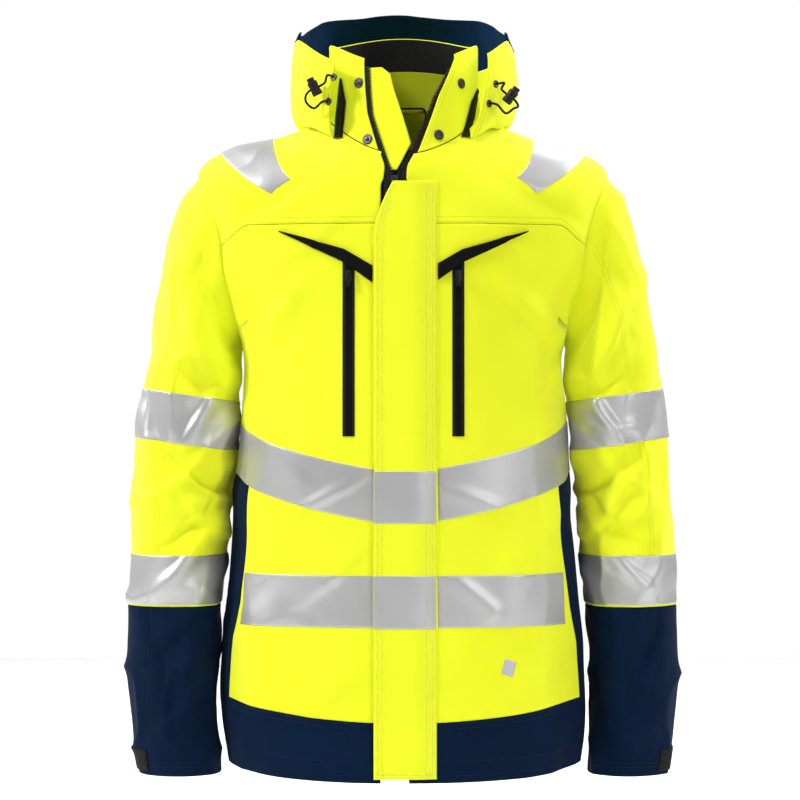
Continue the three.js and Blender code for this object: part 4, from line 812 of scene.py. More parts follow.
for side, hand in ((1, "left"), (-1, "right")):
    def inner(z, side=side):
        return side * panel_edge(side, z)

    corner_z = float(band_top(205))
    corner_x = float(strip_edge_x(corner_z))
    front_bottom = float(band_top(inner(HEM + 69.0))) + SEAM_GAP
    shares = (0, 0.4, 0.47, 0.72, 1)
    heights = (front_bottom, STRIP_TOP, STRIP_TOP + 24 + SEAM_GAP, -250, -120 - SEAM_GAP)

    def side_leg(t):
        z = mix(corner_z + SEAM_GAP, STRIP_TOP + SEAM_GAP, t)
        return front_at(strip_edge_x(z) - SEAM_GAP, z)

    def strip_leg(t):
        phi = mix(strip_top_phi, SIDE - SEAM_ANGLE, t)
        return side_at(phi, strip_top(phi) + SEAM_GAP)

    def underarm_leg(t):
        ab = side_at(np.full(t.shape, SIDE), mix(STRIP_TOP + 24 + SEAM_GAP, -250, t))
        return np.stack((np.full(t.shape, SIDE - SEAM_ANGLE), np.minimum(ab[:, 1], ARMHOLE_ROWS[0])), -1)

    front_right = chain(
        [
            (shares[1], side_leg),
            (shares[2], strip_leg),
            (shares[3], underarm_leg),
            (1, lambda t: armhole(mix(ARMHOLE_ROWS[0], YOKE_ROW - 0.012, t**1.3), -1)),
        ]
    )

    def front_left(t):
        z = np.interp(t, shares, heights)
        return on_side(side, inner(z), z)

    ends = (front_left(np.array([0.0, 1.0])), front_right(np.array([0.0, 1.0])))
    across = even(44, 0.012)
    up = seam_stops(even(112, 0.004), shares[1:4])
    ab = fitted_patch(
        across,
        up,
        lambda s: seam_points(mix(ends[0][0, 0], ends[1][0, 0], s), band_top, SEAM_GAP),
        lambda s: np.where(
            (s == 1)[:, None],
            ends[1][1],
            seam_points(mix(ends[0][1, 0], ends[1][1, 0], s), yoke_z, -SEAM_GAP),
        ),
        front_left,
        front_right,
    )
    laid(
        "front_" + hand, body, outward(side, ab), CLOTH_THICK, CLOTH_THICK, YELLOW,
        "root", ["front_panel_" + hand]
    )

    yoke_right = chain(
        [
            (0.45, lambda t: armhole(mix(YOKE_ROW, ARMHOLE_ROWS[1], 1 - (1 - t) ** 1.6), -1)),
            (1,
            lambda t: np.stack((np.full(t.shape, SIDE - SEAM_ANGLE),
            mix(ARMHOLE_ROWS[1], NECK_ROW - 0.03, t)), -1)),
        ]
    )

    def yoke_left(t):
        z = mix(-120, -40, t)
        ab = on_side(side, inner(z), z)
        ab[t == 1, 1] = NECK_ROW - 0.03
        return ab

    ends = (yoke_left(np.array([0.0, 1.0])), yoke_right(np.array([0.0, 1.0])))
    ab = fitted_patch(
        even(48, 0.012),
        seam_stops(even(60, 0.012), [0.45]),
        lambda s: np.where((s == 1)[:, None], ends[1][0],
        seam_points(mix(ends[0][0, 0], ends[1][0, 0], s), yoke_z, 0)),
        lambda s: np.stack((mix(ends[0][1, 0], SIDE - SEAM_ANGLE, s), np.full(s.shape, NECK_ROW - 0.03)),
        -1),
        yoke_left,
        yoke_right,
    )
    laid(
        "shoulder_yoke_" + hand, body, outward(side, ab), CLOTH_THICK, CLOTH_THICK, YELLOW,
        "root", ["yoke_" + hand]
    )

    band_from = on_side(side, inner(HEM + 69.0), HEM + 69.0)[0]
    band_to = front_at(corner_x, corner_z)[0]

    def strip_leg_up(t):
        z = mix(corner_z, STRIP_TOP, t)
        return front_at(strip_edge_x(z), z)

    inner_path = chain(
        [(0.45, lambda t: seam_points(mix(band_from, band_to, t), band_top, 0)), (1, strip_leg_up)]
    )
    hem_inner = on_side(side, inner(HEM + 8.0), HEM + 8.0)[0]
    outer_path = chain(
        [
            (0.45, lambda t: np.stack((mix(hem_inner, STRIP_BACK, t), np.full(t.shape, 0.02)), -1)),
            (1,
            lambda t: side_at(np.full(t.shape, STRIP_BACK),
            mix(HEM + 13, float(strip_top(STRIP_BACK)), t))),
        ]
    )
    s = seam_stops(even(110, 0.006), [0.45])
    t = even(26, 0.025)
    ab = mix(inner_path(s)[None], outer_path(s)[None], t[:, None, None])
    # the strip's top edge rises to the side seam of the panels above
    rise = smooth((s - 0.9) / 0.1)[None, :]
    peak = side_at(ab[:, -1, 0], strip_top(ab[:, -1, 0]))[:, 1]
    ab[..., 1] += rise * (peak - ab[:, -1, 1])[:, None]
    laid(
        "side_strip_" + hand, body, outward(side, ab), CLOTH_THICK, CLOTH_THICK, NAVY, "root",
        ["side_hem_" + hand]
    )

BACK_PHI = STRIP_BACK + 2 * SEAM_ANGLE
BACK_BAND = HEM + 69 + 22 * 0.6


def back_leg(t):
    return side_at(
        np.full(t.shape, BACK_PHI), mix(BACK_BAND + SEAM_GAP, float(strip_top(STRIP_BACK)) + SEAM_GAP, t)
    )


def back_strip_leg(t):
    phi = mix(BACK_PHI, SIDE + SEAM_ANGLE, t)
    return side_at(phi, strip_top(phi) + SEAM_GAP)


def back_underarm(t):
    ab = side_at(np.full(t.shape, SIDE), mix(STRIP_TOP + 24 + SEAM_GAP, -250, t))
    return np.stack((np.full(t.shape, SIDE + SEAM_ANGLE), np.minimum(ab[:, 1], ARMHOLE_ROWS[0])), -1)


back_edge = chain(
    [
        (0.4, back_leg),
        (0.45, back_strip_leg),
        (0.6, back_underarm),
        (0.82, lambda t: armhole(mix(ARMHOLE_ROWS[0], ARMHOLE_ROWS[1], smooth(t)), 1)),
        (1,
        lambda t: np.stack((np.full(t.shape, SIDE + SEAM_ANGLE),
        mix(ARMHOLE_ROWS[1], NECK_ROW - 0.03, t)), -1)),
    ]
)
back_ab = fitted_patch(
    even(110, 0.006),
    seam_stops(even(130, 0.004), [0.4, 0.45, 0.6, 0.82]),
    lambda s: side_at(mix(BACK_PHI, 2 * HALF_TURN - BACK_PHI, s), BACK_BAND + SEAM_GAP),
    lambda s: np.stack((mix(SIDE + SEAM_ANGLE, 3 * SIDE - SEAM_ANGLE, s),
    np.full(s.shape, NECK_ROW - 0.03)), -1),
    back_edge,
    lambda t: back_edge(t) * (-1, 1) + (2 * HALF_TURN, 0),
)
laid(
    "back_of_jacket", body, back_ab, CLOTH_THICK, CLOTH_THICK, YELLOW, "root",
    ["back_panel"]
)
phi = mix(BACK_PHI, 2 * HALF_TURN - BACK_PHI, even(110, 0.006))
top = side_at(phi, BACK_BAND)[:, 1]
t = even(16, 0.04)[:, None]
ab = np.stack((np.broadcast_to(phi, (len(t), len(phi))), mix(0.02, top[None], t)), -1)
laid("back_hem_band", body, ab, CLOTH_THICK, CLOTH_THICK, NAVY, "root", ["hem_back"])


# ---- Collar and its lining ----
# A stand-up collar of shell cloth, faced inside with black brushed polyester round the back,
# and a yellow facing below it inside the back of the neck, its yellow darkened as painted shade.
def collar_edge(side, v):
    z = body_shape(np.full(np.shape(v), 0.4), v)[..., 2]
    return np.abs(phi_at_x(panel_edge(side, z), v))


def arc_piece(v_from, v_to, from_phi, to_phi, columns, rows, edge=0.02):
    """Coordinates between two rows; the end angles may depend on the row."""
    v = mix(v_from, v_to, even(rows, edge))[:, None]
    s = even(columns, 0.008)[None]
    start = from_phi(v) if callable(from_phi) else from_phi
    end = to_phi(v) if callable(to_phi) else to_phi
    phi, v = np.broadcast_arrays(mix(start, end, s), v)
    return np.stack((phi, v), -1)


ab = arc_piece(
    NECK_ROW + 0.03, COLLAR_ROW, lambda v: collar_edge(1, v),
    lambda v: 2 * HALF_TURN - collar_edge(-1, v), 120, 36
)
laid("collar", body, ab, CLOTH_THICK, CLOTH_THICK, YELLOW, "root", ["collar_shell"])
ab = arc_piece(14.02, COLLAR_ROW - 0.05, math.radians(56), math.radians(304), 90, 24)
laid(
    "collar_brushed_lining", body, ab, -0.7, 1.2, BRUSHED, "root", ["collar_lining"],
    roll=-0.3
)
ab = arc_piece(NECK_ROW + 0.5, 14.06, math.radians(56), math.radians(304), 90, 30)
# both yellow facings carry painted shade: the yellow darkened for the inside of the neck
laid("collar_lower_facing", body, ab, -0.9, 0.8, YELLOW_PAINTED_SHADE, "root", roll=-0.3)
ab = arc_piece(10.7, 12.45, math.radians(112), math.radians(248), 60, 16)
laid("back_neck_facing", body, ab, -6.4, 0.6, YELLOW_PAINTED_SHADE, "root", roll=-0.3)


# ---- Body lining ----
# Dark mesh that hangs inside the shell from the neck seam to just above the hem,
# open at the front and at both armholes.
def lining_edge(side, v):
    z = np.maximum(body_shape(np.full(np.shape(v), 0.05), v)[..., 2], HEM)
    return np.abs(phi_at_x(opening_edge(side, z) + side * 13.4, v))


v = mix(0.25, 11.8, even(84, 0.01))[:, None]
s = even(130, 0.004)[None]
phi = mix(lining_edge(1, v), 2 * HALF_TURN - lining_edge(-1, v), s)
ab = np.stack((phi, np.broadcast_to(v, phi.shape)), -1)
lining_points = body.at(ab, np.full(phi.shape, -5.1))
from_side = np.minimum(np.abs(phi - SIDE), np.abs(phi - 3 * SIDE))
in_hole = 1 - ((mix(v, armhole_middle, 0.25) - armhole_middle) / armhole_half) ** 2
spread = math.radians(23) * np.sqrt(np.maximum(0, in_hole))
in_armhole = (v > ARMHOLE_ROWS[0] - 0.2) & (v < ARMHOLE_ROWS[1] + 0.6) & (from_side < spread + 0.1)
lining = link(
    grid_mesh("mesh_lining", lining_points, body.facing(ab), MESH, hole=in_armhole), "mesh_lining"
)
thicken(lining, 0.6)
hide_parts("body_lining")
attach(lining, "root")


# ---- Copies along a line, for teeth and stitches ----
# A tooth or a stitch is shaped once and then set along its run at an even pitch.
def run_frames(cloth, ab, lift, pitch, phase=0.0):
    """Matrices along a line on a cloth: +Y along it, +Z out of the cloth. Phase is a share of the pitch."""
    ab = np.asarray(ab, float)
    points = cloth.at(ab, np.full(len(ab), float(lift)))
    run = np.concatenate(([0], np.cumsum(np.linalg.norm(np.diff(points, axis=0), axis=-1)))) / MM
    marks = np.arange(pitch * (0.5 + phase), run[-1] - pitch * 0.3, pitch)
    ab = np.stack([np.interp(marks, run, ab[:, k]) for k in (0, 1)], -1)
    place = np.stack([np.interp(marks, run, points[:, k]) for k in (0, 1, 2)], -1)
    if len(place) < 2:
        return np.zeros((0, 4, 4))
    along = np.gradient(place, axis=0)
    out = cloth.facing(ab)
    along -= out * (along * out).sum(-1, keepdims=True)
    along /= np.linalg.norm(along, axis=-1, keepdims=True)
    frames = np.zeros((len(place), 4, 4))
    frames[:, :3, 0] = np.cross(along, out)
    frames[:, :3, 1] = along
    frames[:, :3, 2] = out
    frames[:, :3, 3] = place
    frames[:, 3, 3] = 1
    return frames


def start_piece():
    bpy.ops.object.select_all(action="DESELECT")


def apply_all(piece):
    bpy.ops.object.select_all(action="DESELECT")
    bpy.context.view_layer.objects.active = piece
    piece.select_set(True)
    for modifier in list(piece.modifiers):
        bpy.ops.object.modifier_apply(modifier=modifier.name)


def block(size, bevel, segments=2, taper=1.0):
    """A block in millimetres with rounded edges; taper narrows its +Y end."""
    start_piece()
    bpy.ops.mesh.primitive_cube_add(size=1)
    piece = bpy.context.object
    piece.data.transform(Matrix.Diagonal((*(k * MM for k in size), 1)))
    for vertex in piece.data.vertices:
        if vertex.co.y > 0:
            vertex.co.x *= taper
    if bevel:
        rounded = piece.modifiers.new("bevel", "BEVEL")
        rounded.width = bevel * MM
        rounded.segments = segments
        apply_all(piece)
    return piece


def stitch_model():
    start_piece()
    bpy.ops.mesh.primitive_uv_sphere_add(segments=4, ring_count=4, radius=1)
    piece = bpy.context.object
    piece.data.transform(Matrix.Rotation(math.pi / 2, 4, "X"))
    piece.data.transform(Matrix.Diagonal((0.34 * MM, 1.35 * MM, 0.28 * MM, 1)))
    return piece


def copies(name, model, frames, material):
    """One piece that holds a copy of the model at each frame; the model itself is removed."""
    co = np.array([v.co for v in model.data.vertices])
    faces = [tuple(p.vertices) for p in model.data.polygons]
    moved = np.einsum("nij,kj->nki", frames[:, :3, :3], co) + frames[:, None, :3, 3]
    count = len(co)
    mesh = bpy.data.meshes.new(name)
    mesh.from_pydata(
        moved.reshape(-1, 3).tolist(),
        [],
        [tuple(k + i * count for k in face) for i in range(len(frames)) for face in faces],
    )
    mesh.materials.append(material)
    mesh.shade_smooth()
    bpy.data.objects.remove(model)
    return link(mesh, name)


def sew(name, runs, material, body_name, pitch=3.4):
    """Rows of stitches: each run is a cloth, a line on it and a lift."""
    frames = np.concatenate([run_frames(cloth, ab, lift, pitch) for cloth, ab, lift in runs])
    piece = copies(name, stitch_model(), frames, material)
    if body_name:
        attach(piece, body_name)
    return piece


# ---- Main zip ----
# Coarse moulded teeth on black tape. It is closed below the slider and spread above it,
# where the collar falls open.
def front_edge(side, z, away):
    return opening_edge(side, z) + side * away


ZIP_LOW_END = HEM + 12
TOOTH_PITCH = 3.0
tooth_frames = []
for side, hand in ((1, "left"), (-1, "right")):
    z = np.concatenate((np.linspace(ZIP_LOW_END, ZIP_TOP, 90), np.linspace(ZIP_TOP + 3, 65, 46)))
    away = np.array((0, 1, 3, 6, 9, 12))
    ab = np.stack([front_at(front_edge(side, z, d), z) for d in away], 1)
    laid(
        "main_zip_tape_" + hand, body, ab, -0.9, 0.8, ZIP_TAPE, "root", ["main_zip_" + hand],
        roll=0
    )
    teeth_line = front_at(front_edge(side, z, -0.6), z)
    tooth_frames.append(run_frames(body, teeth_line, -1.1, TOOTH_PITCH, 0.5 if side > 0 else 0.0))
tooth = block((4.2, 1.75, 2.6), 0.5, 1)
teeth = copies("main_zip_teeth", tooth, np.concatenate(tooth_frames), PLASTIC)
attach(teeth, "root")


def fitting(piece, name, place, material, slot_name, body_name, *nodes, angle=35):
    """Puts a finished fitting in its place and leaves its object at the origin."""
    piece.name = piece.data.name = name
    piece.data.transform(place)
    piece.data.materials.clear()
    piece.data.materials.append(material)
    piece.data.shade_smooth()
    piece.data.set_sharp_from_angle(angle=math.radians(angle))
    if nodes:
        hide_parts(*nodes)
    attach(piece, body_name)
    return piece


def join(*pieces):
    bpy.ops.object.select_all(action="DESELECT")
    for piece in pieces:
        piece.select_set(True)
    bpy.context.view_layer.objects.active = pieces[0]
    bpy.ops.object.join()
    return pieces[0]


def moved(piece, x=0.0, y=0.0, z=0.0, turn=0.0, axis="X"):
    piece.data.transform(Matrix.Translation((x * MM, y * MM, z * MM)) @ Matrix.Rotation(turn, 4, axis))
    return piece


def cut(piece, cutter):
    """Cuts one shape out of another."""
    boolean = piece.modifiers.new("cut", "BOOLEAN")
    boolean.operation = "DIFFERENCE"
    boolean.object = cutter
    boolean.solver = "EXACT"
    apply_all(piece)
    bpy.data.objects.remove(cutter)
    return piece


def rod(radius, length, sides=24):
    start_piece()
    bpy.ops.mesh.primitive_cylinder_add(vertices=sides, radius=radius * MM, depth=length * MM)
    return bpy.context.object


def pull_tab(width, length, thick):
    """A tab with a round end and a hole, hanging down from its pivot at the origin."""
    tab = block((width, length, thick), 0.3, 2, 0.8)
    moved(tab, 0, -length / 2 + 0.6, thick / 2)
    hole = moved(rod(width * 0.22, thick * 4), 0, -length + width * 0.55, 0)
    return cut(tab, hole)


def middle_of(node):
    low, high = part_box(node)
    return (low + high) / 2


zip_out = Vector((0, -0.99983, 0.018675)).normalized()
zip_right = Vector((0, 0, 1)).cross(zip_out).normalized()


def zip_place(point):
    place = Matrix((zip_right, zip_out.cross(zip_right), zip_out)).transposed().to_4x4()
    place.translation = point
    return place


plates = block((10, 15, 1.5), 0.6, 3, 0.75)
lower_plate = moved(block((10, 15, 1.3), 0.5, 2, 0.75), 0, 0, -3.9)
bridge = moved(block((3, 7, 1.6), 0.5, 3), 0, 1.5, 1.4)
neck = moved(block((1.4, 4, 3.4), 0.2, 1), 0, 5.2, -1.9)
slider = join(plates, lower_plate, bridge, neck)
slider_low, slider_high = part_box("main_zip_slider")
slider_at = Vector((middle_of("main_zip_slider").x, slider_low.y + 0.0008, middle_of("main_zip_slider").z))
fitting(
    slider, "zip_slider", zip_place(slider_at), PLATED, "gunmetal", "main_zip_slider", "main_zip_slider"
)
pull_low, pull_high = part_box("main_zip_pull")
pull_at = Vector((middle_of("main_zip_pull").x, pull_high.y - 0.0006, pull_high.z))
fitting(
    pull_tab(5, 16, 0.9), "zip_pull", zip_place(pull_at), PLATED, "gunmetal", "main_zip_pull",
    "main_zip_pull"
)


# ---- Storm flap and inner wind flap ----
# The storm flap is sewn on one side of the zip and covers it; a narrower yellow flap lies behind
# the zip, up to its top.
FLAP_LEFT, FLAP_RIGHT, FLAP_CLOTH = -34, 38, 1.6
FLAP_TOP, FLAP_CORNER = ZIP_TOP - 3, -134


def flap_lift(x, z):
    """Outer face of the flap above the body: it stands off at its free edge, clear of the slider."""
    s = (x - FLAP_LEFT) / (FLAP_RIGHT - FLAP_LEFT)
    wave = 0.7 * np.sin(z / 47) + 0.5 * np.sin(z / 21 + 1)
    return mix(6, 1.7, smooth((s - 0.62) / 0.38)) + FLAP_CLOTH + wave * (1 - smooth(s / 0.9)) * 0.8


def flap_x(s, t):
    z = mix(HEM + 6, FLAP_TOP, t)
    near_top = np.clip((z - FLAP_CORNER) / (FLAP_TOP - FLAP_CORNER), 0, 1)
    left = mix(FLAP_LEFT, -12, near_top**1.6)
    return mix(left, FLAP_RIGHT, s), z


def flap_blend(piece):
    """Bakes the piece's placement into its mesh; it works out the height of the flap's sewn edge but bends
    nothing.
    """
    edge_y = body.at(front_at(FLAP_RIGHT, -400.0), 2.0)[1]
    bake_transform(piece)


s, t = np.meshgrid(even(26, 0.03), even(190, 0.004))
x, z = flap_x(s, t)
flap_cloth = laid(
    "front_storm_flap", body, front_at(x, z), flap_lift(x, z), FLAP_CLOTH, YELLOW, None,
    ["storm_flap"], roll=0.7
)
flap_blend(flap_cloth)


def flap_line(x, z_from, z_to, count=240):
    z = np.linspace(z_from, z_to, count)
    return front_at(np.full(count, float(x)), z)


def flap_strip(name, x_from, x_to, z_low, z_high, lift, thick, material, columns=24, rows=20):
    s, t = np.meshgrid(even(columns, 0.03), even(rows, 0.04))
    x, z = mix(x_from, x_to, s), mix(z_low, z_high, t)
    piece = laid(
        name, body, front_at(x, z), flap_lift(x, z) + lift, thick, material, None, roll=0.25
    )
    flap_blend(piece)
    return piece


flap_strip(
    "flap_chest_tape", FLAP_LEFT + 0.4, FLAP_RIGHT - 0.6, -466, -406, 0.55, 0.45, FILM
)
flap_strip(
    "flap_waist_tape", FLAP_LEFT + 0.4, FLAP_RIGHT - 0.6, -587, -526, 0.55, 0.45, FILM
)


class FlapFace:
    """The flap's outer face, so that stitches can be run along it."""

    def at(self, ab, lift=0.0):
        p = body_shape(ab[..., 0], ab[..., 1])
        return body.at(ab, flap_lift(p[..., 0], p[..., 2]) + lift)

    facing = staticmethod(body.facing)


flap_face = FlapFace()
flap_rows = []
for x in (26.5, 33.5):
    flap_rows.append((flap_face, flap_line(x, HEM + 8, FLAP_TOP - 2), 0.75))
s_edge = np.full(240, 0.06)
x, z = flap_x(s_edge, np.linspace(0.006, 0.995, 240))
flap_rows.append((flap_face, front_at(x, z), 0.75))
x, z = flap_x(np.full(240, 0.13), np.linspace(0.006, 0.97, 240))
flap_rows.append((flap_face, front_at(x, z), 0.75))
x = np.linspace(FLAP_LEFT + 3, FLAP_RIGHT - 3, 40)
flap_rows.append((flap_face, front_at(x, np.full(40, HEM + 12.0)), 0.2))
flap_thread = sew("flap_stitches", flap_rows, THREAD_PALE, None)
flap_blend(flap_thread)

WIND_FLAP_EDGE = [(-58, -8), (-26, 9), (7, -1), (39, -12), (56, -16), (64, -26)]
s, t = np.meshgrid(even(12, 0.05), even(46, 0.015))
z = mix(-58, 64, t)
x = mix(opening_edge(-1, z) - 3, between(WIND_FLAP_EDGE, z), s)
wind_lift = -2.8 + 0.5 * np.sin(z / 13) * s
laid(
    "wind_flap", body, front_at(x, z), wind_lift, CLOTH_THICK, YELLOW, "root",
    ["inner_wind_flap"]
)


# ---- Reflective tapes on the body ----
# Silver film 60 mm wide, sewn on along both edges: one round the chest that dips to the front,
# one round the waist between the side strips, and one over each shoulder.
FILM_LIFT, FILM_THICK = CLOTH_THICK + 0.75, 0.6
tape_rows = []


def tape(name, ab, *nodes):
    laid(name, body, ab, FILM_LIFT, FILM_THICK, FILM, "root", nodes, roll=0.3)
    tape_rows.append((body, mix(ab[0], ab[-1], 0.045), FILM_LIFT + 0.12))
    tape_rows.append((body, mix(ab[0], ab[-1], 0.955), FILM_LIFT + 0.12))


def band(phi, z_top, height=60, rows=20):
    t = even(rows, 0.03)[:, None]
    phi = np.broadcast_to(phi, (len(t), len(phi)))
    return side_at(phi, z_top - height * (1 - t))


TAPE_LEFT, TAPE_RIGHT = FLAP_RIGHT + 1.5, -FLAP_LEFT - 8
phi = mix(float(phi_at_x(TAPE_LEFT, 3.3)), 2 * HALF_TURN - float(phi_at_x(TAPE_RIGHT, 3.3)), even(300))
turn = np.minimum(phi, 2 * HALF_TURN - phi)
tape("chest_reflective_tape", band(phi, -408 + 63 * np.minimum(1, turn / SIDE)), "chest_tape")
waist_end = float(phi_at_x(strip_edge_x(-526) - 2, 2.1))
for side, hand, start in ((1, "left", TAPE_LEFT), (-1, "right", TAPE_RIGHT)):
    phi = mix(float(phi_at_x(start, 2.1)), waist_end, even(64, 0.01))
    tape("waist_reflective_tape_" + hand, outward(side, band(phi, -526)), "waist_tape_front_" + hand)
    s, t = np.meshgrid(even(22, 0.04), even(84, 0.01))
    row = mix(mix(9, 8.15, s), mix(10.15, 8.75, s), np.sin(t * math.pi))
    phi = np.radians(mix(38, 142, t))
    ab = outward(side, np.stack((phi, row), -1)).transpose(1, 0, 2)
    tape("shoulder_reflective_tape_" + hand, ab, "shoulder_tape_" + hand)
phi = mix(BACK_PHI + 0.01, 2 * HALF_TURN - BACK_PHI - 0.01, even(150, 0.004))
tape("waist_reflective_tape_back", band(phi, -526), "waist_tape_back")
sew("tape_stitches", tape_rows, THREAD_PALE, "root", 3.8)


# ---- Chest pockets ----
# A water-repellent zip stands upright on each side of the chest, with its top under a black
# dart-shaped welt that points up towards the shoulder.
POCKET_X, POCKET_TOP, POCKET_LENGTH, STRIP_HALF = 63, -162, 204, 7
WELT_TIP = 144
WELT_UPPER = [(-FLAP_LEFT, -170), (68, -150), (105, -139), (WELT_TIP, -128)]
pocket_rows = []
for side, hand in ((1, "left"), (-1, "right")):
    t = even(90, 0.006)[:, None]
    z = POCKET_TOP - POCKET_LENGTH * (1 - t)

    def strip(name, x_from, x_to, lift, thick, material, roll, nodes=(), z=z, side=side):
        s = even(8, 0.08)[None]
        x = side * mix(x_from, x_to, s)
        x, zz = np.broadcast_arrays(x, z)
        laid(name, body, front_at(x, zz), lift, thick, material, "root", nodes, roll=roll)

    strip(
        "pocket_zip_band_" + hand, POCKET_X - STRIP_HALF, POCKET_X + STRIP_HALF, 2.2, 0.7, ZIP_TAPE, 0.3,
        ["pocket_zip_" + hand]
    )
    strip("pocket_zip_inner_lip_" + hand, POCKET_X - 3.9, POCKET_X - 0.15, 3.2, 0.9, BLACK, 0.8)
    strip("pocket_zip_outer_lip_" + hand, POCKET_X + 0.15, POCKET_X + 3.9, 3.2, 0.9, BLACK, 0.8)
    for dx in (-STRIP_HALF + 1.2, STRIP_HALF - 1.2):
        zz = np.linspace(POCKET_TOP - POCKET_LENGTH + 1, POCKET_TOP - 22, 90)
        pocket_rows.append((body, front_at(np.full(90, side * (POCKET_X + dx)), zz), 2.4))

    start = (FLAP_RIGHT if side > 0 else -FLAP_LEFT) + 1.5
    s, t2 = np.meshgrid(even(64, 0.006), even(10, 0.05))
    x = mix(start, WELT_TIP, s)
    width = mix(20, 1, ((x + FLAP_LEFT) / (WELT_TIP + 1 + FLAP_LEFT)) ** 1.2)
    zz = between(WELT_UPPER, x) - width * (1 - t2)
    over = 1.2 * np.exp(-(((x - POCKET_X) / 9) ** 2))
    ab = front_at(side * x, zz)
    laid(
        "pocket_welt_cloth_" + hand, body, ab, 4.3 + over, 1.2, BLACK, "root",
        ["pocket_welt_" + hand]
    )
    pocket_rows.append((body, mix(ab[0], ab[-1], 0.9), 4.35))

    slider_low, slider_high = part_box("pocket_slider_" + hand)
    out = Vector(body.facing(front_at(side * POCKET_X, -180.0)))
    right = Vector((0, 0, 1)).cross(out).normalized()
    place = Matrix((right, out.cross(right), out)).transposed().to_4x4()
    place.translation = (slider_low + slider_high) / 2 + out * 0.0002
    shell = block((8.6, 12.6, 2.4), 0.8, 3, 0.75)
    bridge = moved(block((2.6, 7, 1.4), 0.5, 2), 0, 0.6, 1.5)
    fitting(
        join(shell, bridge), "pocket_zip_slider_" + hand, place, PLASTIC, "black_plastic",
        "pocket_slider_" + hand, "pocket_slider_" + hand
    )
    pull_low, pull_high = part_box("pocket_pull_" + hand)
    place = place.copy()
    place.translation = Vector(
        ((pull_low.x + pull_high.x) / 2, (pull_low.y + pull_high.y) / 2, pull_high.z)
    ) - out * 0.0004
    fitting(
        pull_tab(5, 16, 1.0), "pocket_zip_pull_" + hand, place, PLASTIC, "black_plastic",
        "pocket_pull_" + hand, "pocket_pull_" + hand
    )
sew("pocket_stitches", pocket_rows, THREAD_BLACK, "root", 3.0)


# ---- Collar snaps ----
# Two plated press studs on the wearer's right of the opening and their sockets on the left.
def turned(profile, steps=36):
    """A shape turned on a lathe: its profile, radius and height in millimetres, spun round +Z."""
    mesh = bpy.data.meshes.new("profile")
    points = [(r * MM, 0, h * MM) for r, h in profile]
    mesh.from_pydata(points, [(i, i + 1) for i in range(len(points) - 1)], [])
    piece = link(mesh, "profile")
    bpy.ops.object.select_all(action="DESELECT")
    bpy.context.view_layer.objects.active = piece
    piece.select_set(True)
    bpy.ops.object.mode_set(mode="EDIT")
    bpy.ops.mesh.select_all(action="SELECT")
    bpy.ops.mesh.spin(steps=steps, angle=2 * math.pi, center=(0, 0, 0), axis=(0, 0, 1))
    bpy.ops.mesh.select_all(action="SELECT")
    bpy.ops.mesh.remove_doubles(threshold=0.00001)
    bpy.ops.mesh.normals_make_consistent(inside=False)
    bpy.ops.object.mode_set(mode="OBJECT")
    return piece


STUD = [(0, -0.6), (6.0, -0.6), (6.2, 0), (6.2, 0.6), (5.6, 1.2), (4.6, 1.4), (3.4, 1.1), (2.5, 1.3),
    (2.1, 1.8),
        (2.3, 2.6), (2.2, 3.2), (1.6, 3.7), (0, 3.8)]
SOCKET = [(0, -0.6), (6.0, -0.6), (6.2, 0), (6.2, 0.8), (5.7, 1.7), (4.9, 2.2), (3.9, 2.2), (3.2, 1.8),
    (2.9, 1.0),
          (2.6, 0.7), (0, 0.7)]
for name, profile, x, z in (
    ("collar_snap_stud_upper", STUD, -51, 46),
    ("collar_snap_stud_lower", STUD, -41, -22),
    ("collar_snap_socket_upper", SOCKET, 66, 47),
    ("collar_snap_socket_lower", SOCKET, 40, -17),
):
    place = body.seat(front_at(x, z), CLOTH_THICK + 0.6)
    fitting(turned(profile), name.replace("collar_", "press_"), place, PLATED, "gunmetal", "root", name)


# ---- Sleeves ----
# Set-in sleeves with a yellow upper part, a navy forearm from below the lower tape to the cuff,
# and two tapes each. They hang with soft drapes and gather in wrinkles inside the elbow.
def inner_x(z):
    half = through(BODY_ROWS, side_at(SIDE, min(z, -250.0))[..., 1])[..., 0]
    return float(half) + 9.2


FOREARM_SEAM, CUFF = -567, -766
FOREARM_MIDDLE = (FOREARM_SEAM + CUFF) / 2
# outer point, inner point, half depth, middle depth
SLEEVE_RINGS = [
    (266, -93, inner_x(-262), -262, 71, 2),
    (284, -165, inner_x(-275), -275, 76, 2),
    (300, -255, inner_x(-306), -306, 74, 0),
    (inner_x(-350) + 116, -350, inner_x(-364), -364, 70, -2),
    (inner_x(-455) + 114, -452, inner_x(-458), -458, 66, -5),
    (inner_x(FOREARM_SEAM) + 110, FOREARM_SEAM, inner_x(FOREARM_SEAM), FOREARM_SEAM, 61, -11),
    (inner_x(FOREARM_MIDDLE) + 103.2, FOREARM_MIDDLE, inner_x(FOREARM_MIDDLE), FOREARM_MIDDLE, 56, -18),
    (inner_x(CUFF) + 96, CUFF, inner_x(CUFF), CUFF, 48, -24),
]
SLEEVE_LAST = len(SLEEVE_RINGS)


